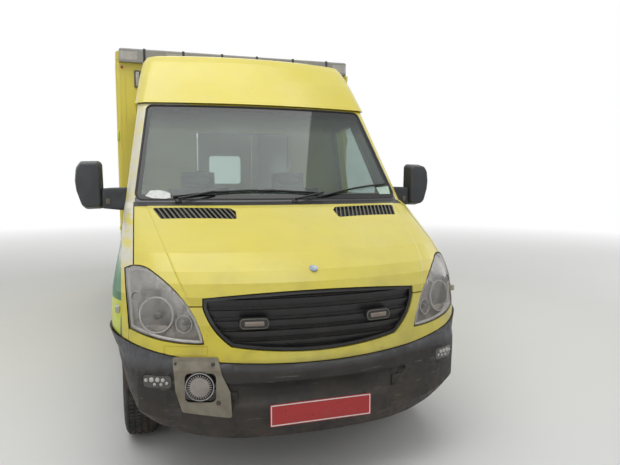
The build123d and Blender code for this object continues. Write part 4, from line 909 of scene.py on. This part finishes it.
# upright lamps high on the box's front
wallLamp = dict(x=838, z=2389, half=(27, 70), border=13, y=(1274, 1292), lensY=(1271, 1282))
x, z, (wide, tall) = wallLamp["x"], wallLamp["z"], wallLamp["half"]
(near, far), gap = wallLamp["y"], wallLamp["border"]
case = block((x - wide, near, z - tall), (x + wide, far, z + tall), 9, 3)
pushed(case, (0, -1, 0), 0.99, 0.005, (0, 0.004, 0), walls=False)
done(both(case), "frontWallLamps", "slatGrey")
near, far = wallLamp["lensY"]
lens = block((x - wide + gap, near, z - tall + gap), (x + wide - gap, far, z + tall - gap), 3)
done(both(lens), "frontWallLenses", "hazyLens")

# repeater on each wing, markers on the box's front and small red ones under the light bar
marker = dict(
    repeater=(-603, 917), half=(40, 18), depth=(-7, 16), low=(-1010, 1283, 1884), high=(-992, 1292, 1966),
    dot=(-958, 1290, 2478), dotShape=[(11, -2), (11, 5), (8, 8), (0, 9)])
(y, z), (wide, tall) = marker["repeater"], marker["half"]
place, slope = hitOn("front_wings", (-1300, y, z), (1, 0, 0))
sunk, proud = [place.x * 1000 + depth for depth in marker["depth"]]
repeater = block((sunk, y - wide, z - tall), (proud, y + wide, z + tall), 6, 3)
done(both(repeater), "sideRepeaters", "hazyLens")
done(both(block(marker["low"], marker["high"], 3)), "cornerMarkers", "limeLens")
done(both(turned(marker["dotShape"], marker["dot"], (0, -1, 0), 20)), "topMarkers", "redLens")

# dark straps over the light bar
strap = dict(places=(150, 470, 780), half=10, y=(1237, 1393), z=(2513, 2626), edge=4)
(near, far), (low, high), half = strap["y"], strap["z"], strap["half"]
straps = [block((x - half, near, low), (x + half, far, high), strap["edge"]) for x in strap["places"]]
done(both(joined(straps)), "lightBarStraps", "blackTrim")
print("front fittings made")

# mirrors: rounded head, broad arm with a small pocket, and the glass behind
mirror = dict(
    head=[(1052, 1402), (1062, 1378), (1160, 1375), (1188, 1400), (1218, 1495), (1225, 1560), (1216, 1640),
        (1186, 1681), (1076, 1684), (1056, 1664)],
    y=(141, 249), edge=22, frontShrink=(0.80, 1, 0.88), middle=(1140, 1530), glassShare=(0.80, 0.87),
    glassSink=9, arm=[(898, 1372), (950, 1371), (1066, 1384), (1066, 1508), (1010, 1513), (905, 1516)],
    armY=(166, 224), pocket=((1012, 160, 1408), (1040, 180, 1446)))
near, far = mirror["y"]
armNear, armFar = mirror["armY"]
(midX, midZ), (shareX, shareZ) = mirror["middle"], mirror["glassShare"]
for side in ("left", "right"):
    head = plate([(x, far, z) for x, z in mirror["head"]], (0, near - far, 0))
    pick(head, facing((0, -1, 0), 0.9))
    bpy.ops.transform.resize(value=mirror["frontShrink"])
    leave()
    head = bevel(head, mirror["edge"], 5, 25)
    pushed(head, (0, 1, 0), 0.98, 0.012, (0, -0.012, 0))
    glass = plate([((x - midX) * shareX + midX, far - mirror["glassSink"], (z - midZ) * shareZ + midZ)
                   for x, z in mirror["head"]], (0, 3, 0), 1)
    arm = plate([(x, armFar, z) for x, z in mirror["arm"]], (0, armNear - armFar, 0), 12, 3)
    pushed(arm, (0, -1, 0), 0.98, 0.030, (0, 0.006, 0), walls=False)
    pocket = block(*mirror["pocket"], 4)
    pieces = [
        (joined([head, arm]), "mirrorShell", "dark_plastic", "mirrorShell"),
        (glass, "mirrorGlass", "glass", "mirrorGlass"), (pocket, "mirrorPocket", "grey_metal", "slatGrey")]
    for piece, name, slotName, look in pieces:
        if side == "right":
            flipped(piece)
        made = done(piece, name + side.capitalize(), look, "cab_door_" + side)
        if name == "mirrorShell":
            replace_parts(made, "mirror_" + side)
print("mirrors made")

# tyres: turned carcass with raised tread blocks and moulded rings on the walls, as (radius, across) points
tyre = dict(
    lift=0.006, steps=84, crown=338, bands=[(5, 31), (39, 76)], border=0.0035,
    wall=[(204, 74), (206, 80), (216, 85), (228, 90), (232, 92.5), (236, 90.5), (262, 96), (286, 97.5),
        (290, 98), (294, 97), (318, 92), (334, 84), (339, 77)],
    tread=[(342.5, 66), (343.5, 40), (343.5, 38), (341, 37), (341, 33), (343.5, 32), (343.5, 4),
        (341, 3.5)],
    wheels=dict(front=[(855, 0)], rear=[(880, rearAxle), (662, rearAxle)]))
sides = (("left", 1), ("right", -1))


def onTread(middle, normal):
    away = middle - at(0, 0, axleHeight)
    band = abs(away.x) * 1000
    raised = any(low < band < high for low, high in tyre["bands"])
    return raised and math.hypot(away.y, away.z) * 1000 > tyre["crown"]


half = tyre["wall"] + tyre["tread"]
profile = [(r, -x) for r, x in half] + [(r, x) for r, x in reversed(half)]
first = turned(profile, (0, 0, axleHeight), (1, 0, 0), tyre["steps"])
pick(first, onTread)
bpy.ops.mesh.inset(thickness=tyre["border"], use_individual=True)
bpy.ops.mesh.extrude_faces_move(TRANSFORM_OT_shrink_fatten={"value": tyre["lift"]})
leave()
for side, sign in sides:
    for axle, places in tyre["wheels"].items():
        made = joined([moved(first, (sign * x, y, 0)) for x, y in places])
        name, body = axle + "Tyres" + side.capitalize(), f"{axle}_wheel_{side}"
        made = done(made, name, "tyreRubber", body, 25)
        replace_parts(made, ("front_tyre_" if axle == "front" else "rear_tyres_") + side)
bpy.data.objects.remove(first)
print("tyres made")

# hubs and wheel nuts: where the rim's face stands, the axle's place, the nuts' circle and the cap
hub = dict(
    nuts=6, start=12, nut=[(15, 0), (14, 3), (11, 3.5), (11, 14), (8, 16), (0, 16)],
    axles=dict(
        front=(899, 0, 66, [(46, 0), (45, 12), (38, 16), (34, 30), (28, 34), (0, 35)]),
        rear=(783, rearAxle, 100,
            [(82, 0), (80, 10), (72, 14), (72, 62), (66, 68), (40, 70), (36, 80), (0, 81)])))
for side, sign in sides:
    for axle, (face, y, circle, cap) in hub["axles"].items():
        parts = []
        for i in range(hub["nuts"]):
            turn = math.radians(360 / hub["nuts"] * i + hub["start"])
            place = (sign * face, y + circle * math.cos(turn), axleHeight + circle * math.sin(turn))
            parts.append(turned(hub["nut"], place, (sign, 0, 0), 6))
        parts.append(turned(cap, (sign * face, y, axleHeight), (sign, 0, 0), 36))
        name, body = axle + "Hub" + side.capitalize(), f"{axle}_wheel_{side}"
        done(joined(parts), name, "castIron", body, 25)
print("hubs made")

# cab seats: crowned cushions with a sewn border, on a plain plinth; corners, rounding, width of the seam
seat = dict(
    lean=8, hinge=(0, 930, 940), plinth=((-600, 545, 641), (-170, 945, 845)),
    crown=[(0.006, -0.007), (0.010, 0.008), (0.045, 0.010)],
    seatCushions=((-628, 505, 838), (-142, 935, 962), 40, 0.035),
    seatBacks=((-622, 915, 930), (-148, 1040, 1500), 45, 0.035),
    headRests=((-520, 985, 1500), (-250, 1075, 1642), 34, 0.02))


def cushion(low, high, edge, seam):
    made = block(low, high)
    for way in ((0, 0, 1), (0, -1, 0)):
        pick(made, facing(way, 0.99))
        for border, rise in [(seam, 0)] + seat["crown"]:
            bpy.ops.mesh.inset(thickness=border, depth=rise)
        leave()
    return modify(bevel(made, edge, 3, 80), "SUBSURF", levels=2, render_levels=2)


for name in ("seatCushions", "seatBacks", "headRests"):
    pad = cushion(*seat[name])
    if name != "seatCushions":
        edit(pad)
        lean, hinge = math.radians(seat["lean"]), at(*seat["hinge"])
        bpy.ops.transform.rotate(value=lean, orient_axis="X", center_override=hinge)
        leave()
    done(both(pad), name, "seatCloth", smooth=60)
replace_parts(done(both(block(*seat["plinth"], 12)), "seatPlinths", "blackTrim"), "cab_seats")
print("seats made")

# box body: rub rails, and rows along both sides given by places, x, half length, z, rounding and its segments
box = dict(
    rail=((1009, 1318, 752), (1017, 5282, 786)),
    rows=[
        ("sideMarkers", "lamp_lens", "amberLens", (1500, 2350, 3050, 4300, 5050), (1015, 1023), 32,
            (760, 778), 3, 2),
        ("workLampCases", "dark_plastic", "blackTrim", (2060, 3150, 4400), (1004, 1034), 95,
            (2382, 2478), 9, 3),
        ("workLampLenses", "lamp_lens", "hazyLens", (2060, 3150, 4400), (1030, 1039), 82,
            (2394, 2466), 4, 2)])
done(both(block(*box["rail"], 3)), "rubRails", "sealRubber")
for name, slotName, look, places, (inner, outer), half, (low, high), edge, segments in box["rows"]:
    row = [block((inner, y - half, low), (outer, y + half, high), edge, segments) for y in places]
    done(both(joined(row)), name, look)

# door latches, each with its turn and place, and the rear door's lock rods with their brackets
latch = dict(
    half=(62, 48), lock=[(9, 0), (9, 3), (7, 4), (0, 4)], side=(-90, (1010, 2120, 1180)),
    rear=(180, (-90, 5300, 1180)), rods=(860, 1300, 1860), rod=420, rodAt=(-48, 5306),
    brackets=(852, 1270, 1720, 1850, 2290))


def latchAt(angle, place):  # recessed paddle latch, drawn facing the front and then turned and moved
    wide, tall = latch["half"]
    made = block((-wide, -4, -tall), (wide, 2, tall), 2.5, 3)
    pushed(made, (0, -1, 0), 0.99, 0.012, (0, 0.003, 0))
    paddle = block((-wide + 18, -9, -tall + 14), (wide - 18, -1, tall - 30), 3)
    made = joined([made, paddle, turned(latch["lock"], (0, -2, tall - 16), (0, -1, 0), 20)])
    edit(made)
    bpy.ops.transform.rotate(value=math.radians(angle), orient_axis="Z", center_override=at(0, 0, 0))
    bpy.ops.transform.translate(value=at(*place) - at(0, 0, 0))
    leave()
    return made


done(latchAt(*latch["side"]), "sideDoorLatch", "blackTrim", body="side_door")
done(latchAt(*latch["rear"]), "rearDoorLatch", "blackTrim", body="rear_door_right")
rods = [rail([(*latch["rodAt"], z), (*latch["rodAt"], z + latch["rod"])], 6, 2) for z in latch["rods"]]
rods += [block((-66, 5299, z), (-30, 5316, z + 26), 3) for z in latch["brackets"]]
done(joined(rods), "rearLockRods", "brightSteel", "rear_door_right")

# rear lamps: three lenses on a black plate, the high ones, and the number plate's own
rearLamp = dict(
    x=(913, 977), y=(5306, 5324),
    lenses=[("stopLenses", "red_lens", "redLens", 1316, 1428),
        ("turnLenses", "lamp_lens", "amberLens", 1194, 1304),
        ("backLenses", "lamp_lens", "hazyLens", 1072, 1182)],
    stop=((-150, 5298, 2452), (150, 5316, 2478)), plate=((-45, 5299, 712), (45, 5322, 734)),
    blue=(-880, 880), blueHalf=70, blueY=(5298, 5318), blueZ=(2440, 2490))
(inner, outer), (near, far) = rearLamp["x"], rearLamp["y"]
for name, slotName, look, low, high in rearLamp["lenses"]:
    done(both(block((inner, near, low), (outer, far, high), 7, 3)), name, look)
done(block(*rearLamp["stop"], 5), "highStopLamp", "redLens")
(near, far), (low, high), half = rearLamp["blueY"], rearLamp["blueZ"], rearLamp["blueHalf"]
lamps = joined([block((x - half, near, low), (x + half, far, high), 7, 3) for x in rearLamp["blue"]])
done(lamps, "rearHighLamps", "blueLens")
done(block(*rearLamp["plate"], 6), "plateLamp", "blackTrim")

# fuel flap and mud flaps
flap = dict(
    fuel=(1007, 1850, 640),
    shape=[(0, 3), (58, 3), (61, 1.5), (61, -3), (66, -3), (66, 1), (70, 1), (70, -4)],
    mud=[((560, 4085, 120), (985, 4093, 470)), ((765, 496, 165), (955, 503, 470))])
done(turned(flap["shape"], flap["fuel"], (1, 0, 0)), "fuelFlap", "yellowGloss")
done(both(joined([block(*corners, 3) for corners in flap["mud"]])), "mudFlaps", "sealRubber")
print("box details made")

# studio floor, fading to the sky's white far away, and the sky
unselect()
bpy.ops.mesh.primitive_plane_add(size=120, location=(0, 0, 0))
floor = bpy.context.object
floor.name = "studioFloor"
ground = Mix("floorPale", Roughness=0.9)
patches = ground.cloud(0.6, 5, 0.3, 0.7, 0, 0.3)
ground.feed("Base Color", ground.blend(patches, studio["floor"], studio["floorPatch"]))
distance = ground.add("VectorMath", {0: ground.place}, operation="LENGTH").outputs["Value"]
seen = ground.add("LightPath").outputs["Is Camera Ray"]
fade = ground.times(ground.ramp(distance, *studio["fade"]), seen)
shaders = {"Fac": fade, 1: ground.skin.outputs[0], 2: ground.add("Emission").outputs[0]}
mixed = ground.add("MixShader", shaders).outputs[0]
ground.join(mixed, ground.tree.nodes["Material Output"].inputs["Surface"])
floor.data.materials.append(ground.mat)
floor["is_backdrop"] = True

sky = bpy.data.worlds.new("studioSky")
bpy.context.scene.world = sky
sky.use_nodes = True
air = Tree(sky.node_tree)
path = air.add("LightPath").outputs
seen = air.calc("MAXIMUM", path["Is Camera Ray"], path["Is Glossy Ray"])
seen = air.calc("MAXIMUM", seen, path["Is Transmission Ray"])
background = sky.node_tree.nodes["Background"]
background.inputs["Color"].default_value = (1, 1, 1, 1)
air.join(air.ramp(seen, 0, 1, studio["sky"], 1.0), background.inputs["Strength"])
print("studio ready")

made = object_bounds()
